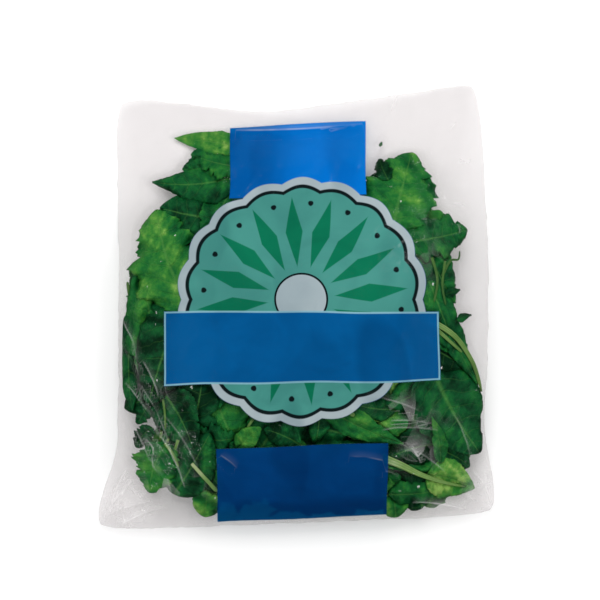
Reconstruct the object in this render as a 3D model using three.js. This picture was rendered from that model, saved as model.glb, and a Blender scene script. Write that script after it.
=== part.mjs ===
// A sealed clear bag of baby spinach, lying on its back with the printed front up.
// Millimetres, +Z up, +X to the bag's right and +Y towards its sealed top edge.
// The origin is on the surface that it lies on, under the middle of its box.
// The bag is full and shut, so it is one solid: a pillow that swells over the leaves,
// thins to flat film above them, and ends in two flat ears at its bottom corners.
import * as THREE from "three";
import { mergeVertices } from "three/addons/utils/BufferGeometryUtils.js";

// Driving dimensions
const SIDE_TO_SIDE = 224.5; // between the side welds, beside the leaves
const BOTTOM_TO_TOP = 268.4; // from the bottom fold to the top seal, before that sags
const FILL_THICKNESS = 54; // through the bag where the leaves lie deepest
const FILM_EDGE = 1.0; // thickness that stands for the two films at a weld

// Plan outline, measured from the straight box of the two sizes above
const LEFT_EAR = 12; // how far each bottom corner stands out past its side
const RIGHT_EAR = 11;
const EAR_REACH = 60; // length of a side that flares into its ear
const LEFT_WAIST = 2.6; // how far the leaves draw the left side in
const RIGHT_BELLY = 6; // how far the leaves push the right side out
const TOP_TILT = 12; // rise of the top edge's right half, and drop of its left
const TOP_DIP = 19; // sag of the top edge between its corners
const TOP_DIP_AT = -0.08; // where it sags most, as a share of the half width
const TOP_DIP_REACH = { left: 0.58, right: 2.0 }; // how far the sag spreads each way from there
const BOTTOM_TILT = 4.6; // rise of the bottom edge's right half, and drop of its left
const CORNER_CUT = 3.0; // how far the corners are rounded back, each way
const CORNER_TIGHTNESS = 14; // higher keeps the rounding closer to the corner

// Profile along the bag, as shares of its length from the bottom fold
const FULL_FROM = 0.3; // the leaves reach their full depth here
const FULL_TO = 0.5; // and begin to thin out here
const FILL_END = 0.98; // and above this the two films lie together
const BOTTOM_ROUNDNESS = 0.62; // under 1 swells fast from the fold
const SIDE_ROUNDNESS = 0.66; // the same, from the side welds
const SIDE_FLATNESS = 3; // over 2 flattens the middle of the pillow

// Underside: the welds stand clear of the surface and the film curls down to it
const SIDE_LIFT = 13;
const SIDE_LIFT_EVENNESS = 0.7; // under 1 carries the lift further towards the corners
const BOTTOM_LIFT = 11;
const EAR_LIFT = 4;
const EAR_TIGHTNESS = 4; // higher keeps the ear's lower lift closer to the corner
const TOP_LIFT = 3;
const TOP_WAVE = 2.5; // rise and fall of the loose top film
const TOP_WAVE_TURNS = 4.2; // radians of that wave in half the width
const TOP_WAVE_START = 0.8; // radians of it at the middle
const SIDE_CURL = 0.4; // share of the half width that curls up at a side
const BOTTOM_CURL = 0.16; // share of the length that curls up at the fold
const TOP_CURL = 0.2; // share of the length that lifts at the top

// Relief: leaves that press on the film from inside, and folds in the slack film
const LUMPS = 26;
const LUMP_HEIGHT = 4.2;
const LUMP_DENT = -0.7; // the deepest dent between leaves, as a share of that height
const LUMP_REACH = [0.09, 0.2]; // smallest and largest, as shares of the bag
const LUMP_ACROSS = [-0.8, 0.8]; // where they lie, as shares of the half width
const LUMP_ALONG = [0.1, 0.78]; // and of the length
const LUMP_SEED = 7;
const EAR_FOLDS = 5; // folds that fan out from each bottom corner
const EAR_FOLD_DEPTH = 2.2;
const EAR_FOLD_REACH = 62;
const SIDE_PUCKERS = 11; // ripples along each side weld
const SIDE_PUCKER_DEPTH = 1.3;
const SIDE_PUCKER_INSET = 0.12; // how far in from the weld, as a share of the half width

// Facets
const COLUMNS = 38;
const ROWS = 44;
const RIM_CROWDING = 0.45; // 0 spaces the facets evenly, 1 crowds them at the rim

const { lerp, clamp, smoothstep, seededRandom } = THREE.MathUtils;

// The leaves' lumps: a place (u, v), a reach and a height each, always the same ones.
function leafLumps() {
  seededRandom(LUMP_SEED);
  return Array.from({ length: LUMPS }, () => ({
    u: lerp(...LUMP_ACROSS, seededRandom()),
    v: lerp(...LUMP_ALONG, seededRandom()),
    reach: lerp(...LUMP_REACH, seededRandom()),
    height: LUMP_HEIGHT * lerp(LUMP_DENT, 1, seededRandom()),
  }));
}
const lumps = leafLumps();

// Crowds an even run from -1 to 1 towards its two ends.
const crowded = (t) => lerp(t, Math.sin((t * Math.PI) / 2), RIM_CROWDING);

// 0 inside, rising to 1 at the rim, over the last share of the way out.
const nearRim = (out, share) => clamp((out - (1 - share)) / share, 0, 1) ** 2;

// How far a side stands out at v because of its ear.
const earFlare = (v) => 1 - smoothstep(v * BOTTOM_TO_TOP, 0, EAR_REACH);

// Place in plan: u runs from -1 at the left weld to 1 at the right, v from the fold to the top.
function planPlace(u, v) {
  const half = SIDE_TO_SIDE / 2;
  const belly = Math.sin(Math.PI * clamp(v, 0, 1));
  const left = -half + LEFT_WAIST * belly - LEFT_EAR * earFlare(v);
  const right = half + RIGHT_BELLY * belly - RIGHT_BELLY + RIGHT_EAR * earFlare(v);
  const dipReach = u < TOP_DIP_AT ? TOP_DIP_REACH.left : TOP_DIP_REACH.right;
  const dip = TOP_DIP * Math.exp(-(((u - TOP_DIP_AT) / dipReach) ** 2));
  const top = BOTTOM_TO_TOP + TOP_TILT * u - dip;
  const bottom = BOTTOM_TILT * u;
  const corner = CORNER_CUT * Math.abs(u * (2 * v - 1)) ** CORNER_TIGHTNESS;
  return {
    x: lerp(left, right, (u + 1) / 2) - Math.sign(u) * corner,
    y: lerp(bottom, top, v) - Math.sign(v - 0.5) * corner,
  };
}

// How full the bag is, from 0 at its rim to 1 where the leaves lie deepest.
function fullness(u, v) {
  const across = (1 - Math.abs(u) ** SIDE_FLATNESS) ** SIDE_ROUNDNESS;
  const swell = Math.sin((Math.min(v / FULL_FROM, 1) * Math.PI) / 2) ** BOTTOM_ROUNDNESS;
  const taper = 1 - smoothstep(v, FULL_TO, FILL_END);
  return across * swell * taper;
}

// Height of the back film over the surface that the bag lies on.
function undersideHeight(u, v) {
  const out = Math.abs(u);
  const side = SIDE_LIFT * Math.sin(Math.PI * clamp(v, 0, 1)) ** SIDE_LIFT_EVENNESS;
  const fold = lerp(BOTTOM_LIFT, EAR_LIFT, out ** EAR_TIGHTNESS);
  const wave = TOP_LIFT + TOP_WAVE * Math.sin(TOP_WAVE_TURNS * u + TOP_WAVE_START);
  return (
    side * nearRim(out, SIDE_CURL) +
    fold * nearRim(1 - v, BOTTOM_CURL) +
    wave * nearRim(v, TOP_CURL)
  );
}

// Lumps of the leaves under the front film.
function leafRelief(u, v) {
  return lumps.reduce((sum, lump) => {
    const apart = ((u - lump.u) / 2) ** 2 + (v - lump.v) ** 2;
    return sum + lump.height * Math.exp(-apart / lump.reach ** 2);
  }, 0);
}

// Folds of the slack film: fans at the bottom corners and ripples along the side welds.
function filmFolds(u, v) {
  const { x, y } = planPlace(u, v);
  const corner = planPlace(Math.sign(u) || 1, 0);
  const reach = Math.hypot(x - corner.x, y - corner.y) / EAR_FOLD_REACH;
  const angle = Math.atan2(y - corner.y, Math.abs(x - corner.x));
  const fan = Math.sin(reach * Math.PI) * (reach < 1 ? 1 : 0) * Math.cos(angle * 2 * EAR_FOLDS);
  const ripple = Math.sin(v * Math.PI * 2 * SIDE_PUCKERS + u) * Math.sin(Math.PI * v);
  const besideWeld = Math.exp(-(((1 - Math.abs(u)) / SIDE_PUCKER_INSET - 1) ** 2));
  return EAR_FOLD_DEPTH * fan + SIDE_PUCKER_DEPTH * ripple * besideWeld;
}

// The bag: a box of fine facets whose upper face becomes the front and lower face the back.
function bagGeometry() {
  const box = new THREE.BoxGeometry(2, 2, 2, COLUMNS, ROWS, 1);
  box.deleteAttribute("normal");
  box.deleteAttribute("uv");
  const geometry = mergeVertices(box);
  const places = geometry.getAttribute("position");
  for (let i = 0; i < places.count; i++) {
    const u = crowded(places.getX(i));
    const v = (crowded(places.getY(i)) + 1) / 2;
    const { x, y } = planPlace(u, v);
    const back = undersideHeight(u, v);
    const full = fullness(u, v);
    const relief = (leafRelief(u, v) + filmFolds(u, v)) * Math.sqrt(full);
    const thickness = FILM_EDGE + Math.max(0, FILL_THICKNESS * full + relief);
    places.setXYZ(i, x, y, places.getZ(i) > 0 ? back + thickness : back);
  }
  geometry.computeBoundingBox();
  const middle = geometry.boundingBox.getCenter(new THREE.Vector3());
  geometry.translate(-middle.x, -middle.y, -geometry.boundingBox.min.z);
  geometry.computeVertexNormals();
  return geometry;
}

const leafyFilm = new THREE.MeshStandardMaterial({ color: 0x4a8a3f, roughness: 0.3, metalness: 0 });
const bag = new THREE.Mesh(bagGeometry(), leafyFilm);
bag.name = "bag";

const spinachBag = new THREE.Group();
spinachBag.add(bag);

export default spinachBag;
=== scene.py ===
"""A clear bag of baby spinach: its film with the front print, the leaves and stalks, and the heap's core.

The bag lies on its back with its front up. Places and sizes are millimetres in the bag's own frame,
x to the right and y to the sealed top edge, and become metres as each mesh is made.
"""

from __future__ import annotations

import logging
import math
from dataclasses import dataclass, field
from enum import Enum

import bmesh
import bpy
import numpy as np
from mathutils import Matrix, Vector, noise
from mathutils.bvhtree import BVHTree

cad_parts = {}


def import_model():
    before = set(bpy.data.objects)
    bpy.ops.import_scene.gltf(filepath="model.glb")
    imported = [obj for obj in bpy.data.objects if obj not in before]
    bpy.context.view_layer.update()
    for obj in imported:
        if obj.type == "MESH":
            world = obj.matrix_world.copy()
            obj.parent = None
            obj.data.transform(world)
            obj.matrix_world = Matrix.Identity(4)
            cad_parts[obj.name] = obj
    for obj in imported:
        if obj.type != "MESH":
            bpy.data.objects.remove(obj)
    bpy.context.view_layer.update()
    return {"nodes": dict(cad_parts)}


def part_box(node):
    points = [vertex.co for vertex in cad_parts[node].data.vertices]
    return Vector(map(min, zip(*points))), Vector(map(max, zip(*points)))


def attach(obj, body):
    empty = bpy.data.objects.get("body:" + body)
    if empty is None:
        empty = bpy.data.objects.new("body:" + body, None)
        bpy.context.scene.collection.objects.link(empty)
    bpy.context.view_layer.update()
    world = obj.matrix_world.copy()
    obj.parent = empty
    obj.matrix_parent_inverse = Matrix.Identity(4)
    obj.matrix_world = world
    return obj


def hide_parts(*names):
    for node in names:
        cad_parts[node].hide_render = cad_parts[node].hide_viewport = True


Place = tuple[float, float]
Range = tuple[float, float]
Colour = tuple[float, float, float]

MM = 0.001
SOLID = "bag"
BODY = "root"
FULL_TURN: Range = (0.0, math.tau)
SIDE_VEINS = 7.0  # pairs of side veins on a blade, in its relief as in its colour
VEIN_SWEEP = 1.5  # how far a side vein sweeps forward, in gaps between two of them
PRINT_UNIT = 100.0  # millimetres in one unit of the print map
FOLD_REACH = 7.0  # how far beside its line a fold in the film still shows
TINY = 1e-9  # added to a length so that it can be divided by

log = logging.getLogger("spinach_bag")


def smooth_step(low: float, high: float, values: np.ndarray) -> np.ndarray:
    """Rises smoothly from 0 at low to 1 at high.

    Args:
        low: where the rise starts.
        high: where it ends.
        values: the numbers to read it at.

    Returns:
        The rise at each value.
    """
    share = np.clip((values - low) / (high - low), 0, 1)
    return share * share * (3 - 2 * share)


def draw(rng: np.random.Generator, *ranges: Range) -> np.ndarray:
    """Draws one random number from each range, in order."""
    return rng.uniform(*np.transpose(ranges))


def heading(turn: float) -> np.ndarray:
    """Points in the direction of an angle in plan."""
    return np.array((math.cos(turn), math.sin(turn)))


def left_of(way: np.ndarray) -> np.ndarray:
    """Turns a direction in plan to its left."""
    return np.array((-way[1], way[0]))


def neighbours(padded: np.ndarray) -> np.ndarray:
    """Stacks the four neighbours of each point of a grid that is padded by one all round."""
    return np.stack((padded[:-2, 1:-1], padded[2:, 1:-1], padded[1:-1, :-2], padded[1:-1, 2:]))


def curve_through(points: tuple[Place, ...], count: int) -> np.ndarray:
    """Runs a smooth curve through a few points.

    Args:
        points: the points, in order.
        count: how many places to read along the curve.

    Returns:
        The places, one row each.
    """
    knots = np.array((points[0], *points, points[-1]), float)
    along = np.linspace(0, len(points) - 1, count)
    start = np.minimum(along.astype(int), len(points) - 2)
    part = (along - start)[:, None]
    before, near, far, after = (knots[start + shift] for shift in range(4))
    bend = 2 * before - 5 * near + 4 * far - after
    twist = 3 * (near - far) + after - before
    return near + 0.5 * part * (far - before + part * (bend + part * twist))


def inside_outline(outline: np.ndarray, places: np.ndarray) -> np.ndarray:
    """Tells which places lie inside a closed outline.

    Args:
        outline: the outline's corners, one row each.
        places: the places to test, one row each.

    Returns:
        True for each place inside.
    """
    x, y = places[:, 0, None], places[:, 1, None]
    x0, y0 = outline.T
    x1, y1 = np.roll(outline, -1, axis=0).T
    spans = (y0 > y) != (y1 > y)
    rise = np.where(y1 == y0, 1, y1 - y0)
    crossed = spans & (x < x0 + (y - y0) * (x1 - x0) / rise)
    return crossed.sum(axis=1) % 2 == 1


def mesh_from(bm: bmesh.types.BMesh, name: str) -> bpy.types.Mesh:
    """Turns a modelled shape into a mesh and frees it.

    Args:
        bm: the shape, in metres.
        name: the mesh's name.

    Returns:
        The mesh.
    """
    mesh = bpy.data.meshes.new(name)
    bm.to_mesh(mesh)
    bm.free()
    return mesh


def make_piece(
    name: str, mesh: bpy.types.Mesh, material: bpy.types.Material
) -> bpy.types.Object:
    """Puts a finished mesh into the scene as a piece of the bag.

    Args:
        name: the piece's name.
        mesh: its mesh, in metres, in the bag's frame.
        material: its finish.

    Returns:
        The new object, riding on the bag's body.
    """
    mesh.name = name
    mesh.materials.append(material)
    mesh.polygons.foreach_set("use_smooth", np.ones(len(mesh.polygons), bool))
    piece = bpy.data.objects.new(name, mesh)
    bpy.context.scene.collection.objects.link(piece)
    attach(piece, BODY)
    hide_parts(SOLID)
    log.info("%s: %d faces", name, len(mesh.polygons))
    return piece


def add_numbers(mesh: bpy.types.Mesh, name: str, values: np.ndarray) -> None:
    """Gives each vertex of a mesh a named number that its finish can read."""
    attribute = mesh.attributes.new(name, "FLOAT", "POINT")
    attribute.data.foreach_set("value", np.asarray(values, np.float32))


def add_uv(mesh: bpy.types.Mesh, name: str, by_vertex: np.ndarray) -> None:
    """Gives a mesh a UV map that has one place for each vertex.

    Args:
        mesh: the mesh.
        name: the map's name.
        by_vertex: the places, one row for each vertex.
    """
    corners = np.empty(len(mesh.loops), np.int32)
    mesh.loops.foreach_get("vertex_index", corners)
    layer = mesh.uv_layers.new(name=name)
    layer.uv.foreach_set("vector", np.asarray(by_vertex, np.float32)[corners].ravel())


class Signal:
    """A value that runs through a node tree; each sum or product of signals adds a Math node to it."""

    def __init__(self, wire: Wiring, socket: bpy.types.NodeSocket) -> None:
        """Stands for an output socket in the wiring's tree."""
        self.wire = wire
        self.socket = socket

    def __add__(self, other: Feed) -> Signal:
        """Adds a value."""
        return self.wire.math("ADD", self, other)

    def __sub__(self, other: Feed) -> Signal:
        """Takes a value away."""
        return self.wire.math("SUBTRACT", self, other)

    def __rsub__(self, other: float) -> Signal:
        """Takes the signal away from a number."""
        return self.wire.math("SUBTRACT", other, self)

    def __mul__(self, other: Feed) -> Signal:
        """Multiplies by a value."""
        return self.wire.math("MULTIPLY", self, other)

    def __truediv__(self, other: Feed) -> Signal:
        """Divides by a value."""
        return self.wire.math("DIVIDE", self, other)

    def __pow__(self, power: float) -> Signal:
        """Raises to a power."""
        return self.wire.math("POWER", self, power)

    def __abs__(self) -> Signal:
        """Drops the sign."""
        return self.wire.math("ABSOLUTE", self)

    def at_least(self, other: Feed) -> Signal:
        """Takes the larger of the signal and a value."""
        return self.wire.math("MAXIMUM", self, other)

    def clamped(self) -> Signal:
        """Keeps to the span from 0 to 1."""
        return self.wire.math("ADD", self, 0.0, clamp=True)

    def band(self, start: float, end: float) -> Signal:
        """Makes a mask that runs smoothly from 0 where the signal is at start to 1 where it is at end."""
        inputs = {"Value": self, "From Min": start, "From Max": end}
        return self.wire.read(0, "MapRange", inputs, interpolation_type="SMOOTHSTEP")


Feed = Signal | float | tuple[float, ...]


class Wiring:
    """Short calls that add nodes to one node tree and join them."""

    def __init__(self, tree: bpy.types.NodeTree) -> None:
        """Starts on a tree."""
        self.tree = tree

    def add(self, kind: str, inputs: dict | None = None, **settings: object) -> bpy.types.Node:
        """Adds one node.

        Args:
            kind: the node's type, without its ShaderNode prefix.
            inputs: values or signals by input name or number.
            settings: the node's own properties.

        Returns:
            The node.
        """
        node = self.tree.nodes.new("ShaderNode" + kind)
        for name, value in settings.items():
            setattr(node, name, value)
        for key, value in (inputs or {}).items():
            self.feed(node.inputs[key], value)
        return node

    def read(self, output: int | str, kind: str, inputs: dict | None = None, **settings: object) -> Signal:
        """Adds one node as add does, and takes one of its outputs by name or number."""
        return Signal(self, self.add(kind, inputs, **settings).outputs[output])

    def feed(self, socket: bpy.types.NodeSocket, value: Feed) -> None:
        """Links an input to a signal, or sets its value.

        Args:
            socket: the input.
            value: a signal, a number, a vector or a colour.
        """
        if isinstance(value, Signal):
            self.tree.links.new(value.socket, socket)
        elif socket.type == "RGBA":
            socket.default_value = (*value, 1.0)
        else:
            socket.default_value = value

    def math(self, operation: str, *values: Feed, clamp: bool = False) -> Signal:
        """Adds a Math node and takes its value."""
        return self.read(0, "Math", dict(enumerate(values)), operation=operation, use_clamp=clamp)

    def hypot(self, x: Signal, y: Signal) -> Signal:
        """Works out how far away a place is from its two offsets."""
        return self.math("SQRT", x * x + y * y)

    def split(self, place: Signal) -> tuple[Signal, Signal]:
        """Takes the first two coordinates of a vector."""
        parts = self.add("SeparateXYZ", {0: place}).outputs
        return Signal(self, parts[0]), Signal(self, parts[1])

    def place(self) -> Signal:
        """Reads the place in the bag's own frame, in metres."""
        return self.read("Object", "TexCoord")

    def uv(self, name: str) -> Signal:
        """Reads a UV map."""
        return self.read(0, "UVMap", uv_map=name)

    def number(self, name: str) -> Signal:
        """Reads one of the numbers that the vertices carry."""
        return self.read("Fac", "Attribute", attribute_name=name)

    def noise(self, place: Signal, scale: float, detail: float = 2.0, swirl: float = 0.0) -> Signal:
        """Adds a Noise texture, distorted by its swirl, and takes its value from 0 to 1."""
        inputs = {"Vector": place, "Scale": scale, "Detail": detail, "Distortion": swirl}
        return self.read(0, "TexNoise", inputs)

    def blend(self, share: Signal, low: Feed, high: Feed, mode: str = "MIX") -> Signal:
        """Mixes two colours, the low one where the share is 0 and the high one where it is 1."""
        return self.read(2, "Mix", {0: share, 6: low, 7: high}, data_type="RGBA", blend_type=mode)

    def ramp(self, share: Signal, stops: dict[float, Colour]) -> Signal:
        """Runs through a row of colours.

        Args:
            share: how far along the row to read.
            stops: the colours by their places in the row.

        Returns:
            The colour.
        """
        node = self.add("ValToRGB", {0: share})
        elements = node.color_ramp.elements
        elements.remove(elements[-1])
        for number, (place, colour) in enumerate(stops.items()):
            element = elements.new(place) if number else elements[0]
            element.position = place
            element.color = (*colour, 1.0)
        return Signal(self, node.outputs[0])

    def bump(self, height: Signal, strength: float, distance: float) -> Signal:
        """Makes a normal from a height whose 1 stands for a distance in millimetres."""
        return self.read(0, "Bump", {"Height": height, "Strength": strength, "Distance": distance * MM})


class NodeGroup:
    """A shader node group with named sockets, built once and placed in each material that shares it."""

    def __init__(self, name: str, inputs: dict[str, str], outputs: dict[str, str]) -> None:
        """Makes the empty group.

        Args:
            name: the group's name.
            inputs: socket types by input name.
            outputs: socket types by output name.
        """
        self.tree = bpy.data.node_groups.new(name, "ShaderNodeTree")
        for side, sockets in (("INPUT", inputs), ("OUTPUT", outputs)):
            for label, kind in sockets.items():
                self.tree.interface.new_socket(label, in_out=side, socket_type="NodeSocket" + kind)
        self.wiring = Wiring(self.tree)
        entry = self.tree.nodes.new("NodeGroupInput").outputs
        self.inputs = {label: Signal(self.wiring, entry[label]) for label in inputs}
        self.outputs = self.tree.nodes.new("NodeGroupOutput").inputs

    def put_out(self, signals: dict[str, Signal]) -> None:
        """Feeds the group's outputs by their names."""
        for label, signal in signals.items():
            self.wiring.feed(self.outputs[label], signal)

    def add_to(self, wire: Wiring, inputs: dict[str, Signal]) -> dict[str, Signal]:
        """Places the group in a material.

        Args:
            wire: the material's wiring.
            inputs: what each input reads, by its name.

        Returns:
            The group's outputs by name.
        """
        node = wire.add("Group", node_tree=self.tree)
        for label, signal in inputs.items():
            wire.feed(node.inputs[label], signal)
        return {socket.name: Signal(wire, socket) for socket in node.outputs}


def new_material(name: str) -> tuple[bpy.types.Material, Wiring, bpy.types.NodeSocket]:
    """Starts a node material.

    Args:
        name: the material's name.

    Returns:
        The material, its wiring and its surface socket.
    """
    material = bpy.data.materials.new(name)
    material.use_nodes = True
    material.node_tree.nodes.clear()
    wire = Wiring(material.node_tree)
    return material, wire, wire.add("OutputMaterial").inputs["Surface"]


@dataclass(frozen=True)
class LeafVeins:
    """The veins of a blade: a midrib, side veins that sweep forward, and a fine net between them.

    Widths are shares of the blade's half width, of the gap between two side veins or of a cell of the net.
    """

    midrib: float = 0.1
    midrib_taper: float = 0.085
    midrib_sink: float = 0.6
    wobble: float = 0.9
    wobble_scale: float = 5.0
    side: float = 0.06
    side_fade: float = 0.6
    side_sink: float = 0.8
    net_scale: float = 22.0
    net: float = 0.25
    net_rise: float = 0.35

    def group(self) -> NodeGroup:
        """Builds the veins as a group.

        Returns:
            The group, which reads a UV map whose u is 0.5 on the midrib and whose v runs to the tip.
        """
        outputs = dict.fromkeys(("Midrib", "Side", "Height"), "Float")
        group = NodeGroup("Leaf veins", {"UV": "Vector"}, outputs)
        wire, uv = group.wiring, group.inputs["UV"]
        across, along = wire.split(uv)
        off = abs(across - 0.5) * 2.0
        midrib = (1.0 - off / (along * -self.midrib_taper + self.midrib)).clamped()
        wobble = wire.noise(uv, self.wobble_scale) * self.wobble
        swept = along * SIDE_VEINS + wobble - off * VEIN_SWEEP
        from_gap = abs(wire.math("FRACT", swept) - 0.5)
        side = from_gap.band(self.side, 0.0) * (1.0 - off).clamped() ** self.side_fade
        cells = {"Vector": uv, "Scale": self.net_scale}
        net = wire.read(0, "TexVoronoi", cells, feature="DISTANCE_TO_EDGE").band(0.0, self.net)
        height = net * self.net_rise - side * self.side_sink - midrib * self.midrib_sink
        group.put_out({"Midrib": midrib, "Side": side, "Height": height})
        return group


@dataclass(frozen=True)
class LeafFinish:
    """Satin green blades, from blue-green to yellow-green by each leaf's own tone and the painted light and
    shade of its crumples, with pale ribs.
    """

    tones: dict[float, Colour] = field(
        default_factory=lambda: {
            0.0: (0.002, 0.030, 0.010),
            0.12: (0.003, 0.058, 0.018),
            0.3: (0.004, 0.102, 0.026),
            0.55: (0.012, 0.170, 0.030),
            0.75: (0.045, 0.245, 0.034),
            0.9: (0.115, 0.340, 0.050),
            1.0: (0.260, 0.480, 0.100),
        }
    )
    rib: Colour = (0.10, 0.32, 0.065)
    midrib_cover: float = 0.5
    side_cover: float = 0.22
    blotch: float = 0.7
    blotch_scale: float = 60.0
    grain: float = 0.45
    grain_scale: float = 420.0
    roughness: float = 0.5
    roughness_change: float = 0.3
    gloss: float = 0.3
    vein_strength: float = 0.7
    vein_height: float = 0.7

    def material(self, veins: NodeGroup) -> bpy.types.Material:
        """Builds the finish.

        Args:
            veins: the group that draws the veins.

        Returns:
            The material, which reads the number tone and the UV map blade.
        """
        material, wire, surface = new_material("leaf")
        place = wire.place()
        vein = veins.add_to(wire, {"UV": wire.uv("blade")})
        blotch = wire.noise(place, self.blotch_scale, 4.0) - 0.5
        grain = wire.noise(place, self.grain_scale, 3.0) - 0.5
        # The tone carries the painted light and shade of each blade's crumples.
        mottled = wire.number("tone") + blotch * self.blotch + grain * self.grain
        pale = (vein["Midrib"] * self.midrib_cover + vein["Side"] * self.side_cover).clamped()
        inputs = {
            "Base Color": wire.blend(pale, wire.ramp(mottled, self.tones), self.rib),
            "Roughness": blotch * self.roughness_change + self.roughness,
            "Specular IOR Level": self.gloss,
            "Normal": wire.bump(vein["Height"], self.vein_strength, self.vein_height),
        }
        wire.feed(surface, wire.read(0, "BsdfPrincipled", inputs))
        return material


@dataclass(frozen=True)
class StalkFinish:
    """Pale, fine-ridged stalks, greener or whiter by each stalk's own tone."""

    tones: dict[float, Colour] = field(
        default_factory=lambda: {
            0.0: (0.030, 0.110, 0.025),
            0.5: (0.110, 0.230, 0.050),
            0.8: (0.200, 0.360, 0.095),
            1.0: (0.420, 0.500, 0.260),
        }
    )
    roughness: float = 0.38
    ridges: float = 50.0
    ridge_tone: float = 0.09
    ridge_strength: float = 0.3
    ridge_height: float = 0.2
    spot_tone: float = 0.5
    spot_scale: float = 120.0
    base_tone: float = 0.12
    end_tone: float = -0.3

    def material(self) -> bpy.types.Material:
        """Builds the finish.

        Returns:
            The material, which reads the number tone and the UV map stalk.
        """
        material, wire, surface = new_material("stalk")
        around, along = wire.split(wire.uv("stalk"))
        ridges = wire.math("SINE", around * self.ridges)
        spots = wire.noise(wire.place(), self.spot_scale, 3.0) - 0.5
        paler = wire.number("tone") + self.base_tone + along * self.end_tone
        inputs = {
            "Base Color": wire.ramp(paler + spots * self.spot_tone + ridges * self.ridge_tone, self.tones),
            "Roughness": self.roughness,
            "Normal": wire.bump(ridges, self.ridge_strength, self.ridge_height),
        }
        wire.feed(surface, wire.read(0, "BsdfPrincipled", inputs))
        return material


@dataclass(frozen=True)
class CoreFinish:
    """The dim green of leaves deep in the heap, their shade painted into the colour, painted lighter where
    the bumped folds rise.
    """

    dark: Colour = (0.002, 0.009, 0.004)
    light: Colour = (0.012, 0.055, 0.018)
    light_from: Range = (0.35, 0.7)
    fold_scale: float = 90.0
    fold_swirl: float = 1.2
    fold_strength: float = 0.9
    fold_height: float = 2.0
    roughness: float = 0.6

    def material(self) -> bpy.types.Material:
        """Builds the finish.

        Returns:
            The material.
        """
        material, wire, surface = new_material("heap core")
        folds = wire.noise(wire.place(), self.fold_scale, 4.0, self.fold_swirl)
        inputs = {
            # Painted light and shade: the colour follows the same folds as the bump, lighter where they
            # rise.
            "Base Color": wire.blend(folds.band(*self.light_from), self.dark, self.light),
            "Roughness": self.roughness,
            "Normal": wire.bump(folds, self.fold_strength, self.fold_height),
        }
        wire.feed(surface, wire.read(0, "BsdfPrincipled", inputs))
        return material


@dataclass(frozen=True)
class Facets:
    """Painted light and shade of the flat facets of rucked film, long and leaning: each is painted as bright
    as its own tilt would make it.
    """

    lean: float = 0.9
    narrowness: float = 0.45
    tilts: Range = (0.3, 1.0)
    middle_light: float = 0.4
    edge_light: float = 0.7

    def light(self, wire: Wiring, place: Signal, scale: float, softness: float = 0.0) -> Signal:
        """Draws the facets.

        Args:
            wire: the wiring to add them to.
            place: the coordinates to read.
            scale: how many there are in a unit of those coordinates.
            softness: how far they run into each other, from 0 to 1.

        Returns:
            Their painted brightness, from 0 to about 1.
        """
        turned = {"Rotation": (0.0, 0.0, self.lean), "Scale": (1.0, self.narrowness, 1.0)}
        leaning = wire.read(0, "Mapping", {"Vector": place, **turned})
        cells = wire.add("TexVoronoi", {"Vector": leaning, "Scale": scale})
        if softness:
            cells.feature = "SMOOTH_F1"
            cells.inputs["Smoothness"].default_value = softness
        colour, distance = (Signal(wire, cells.outputs[name]) for name in ("Color", "Distance"))
        tilt = wire.read(0, "SeparateColor", {0: colour}).band(*self.tilts)
        return tilt * (distance * self.edge_light + self.middle_light)


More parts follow.
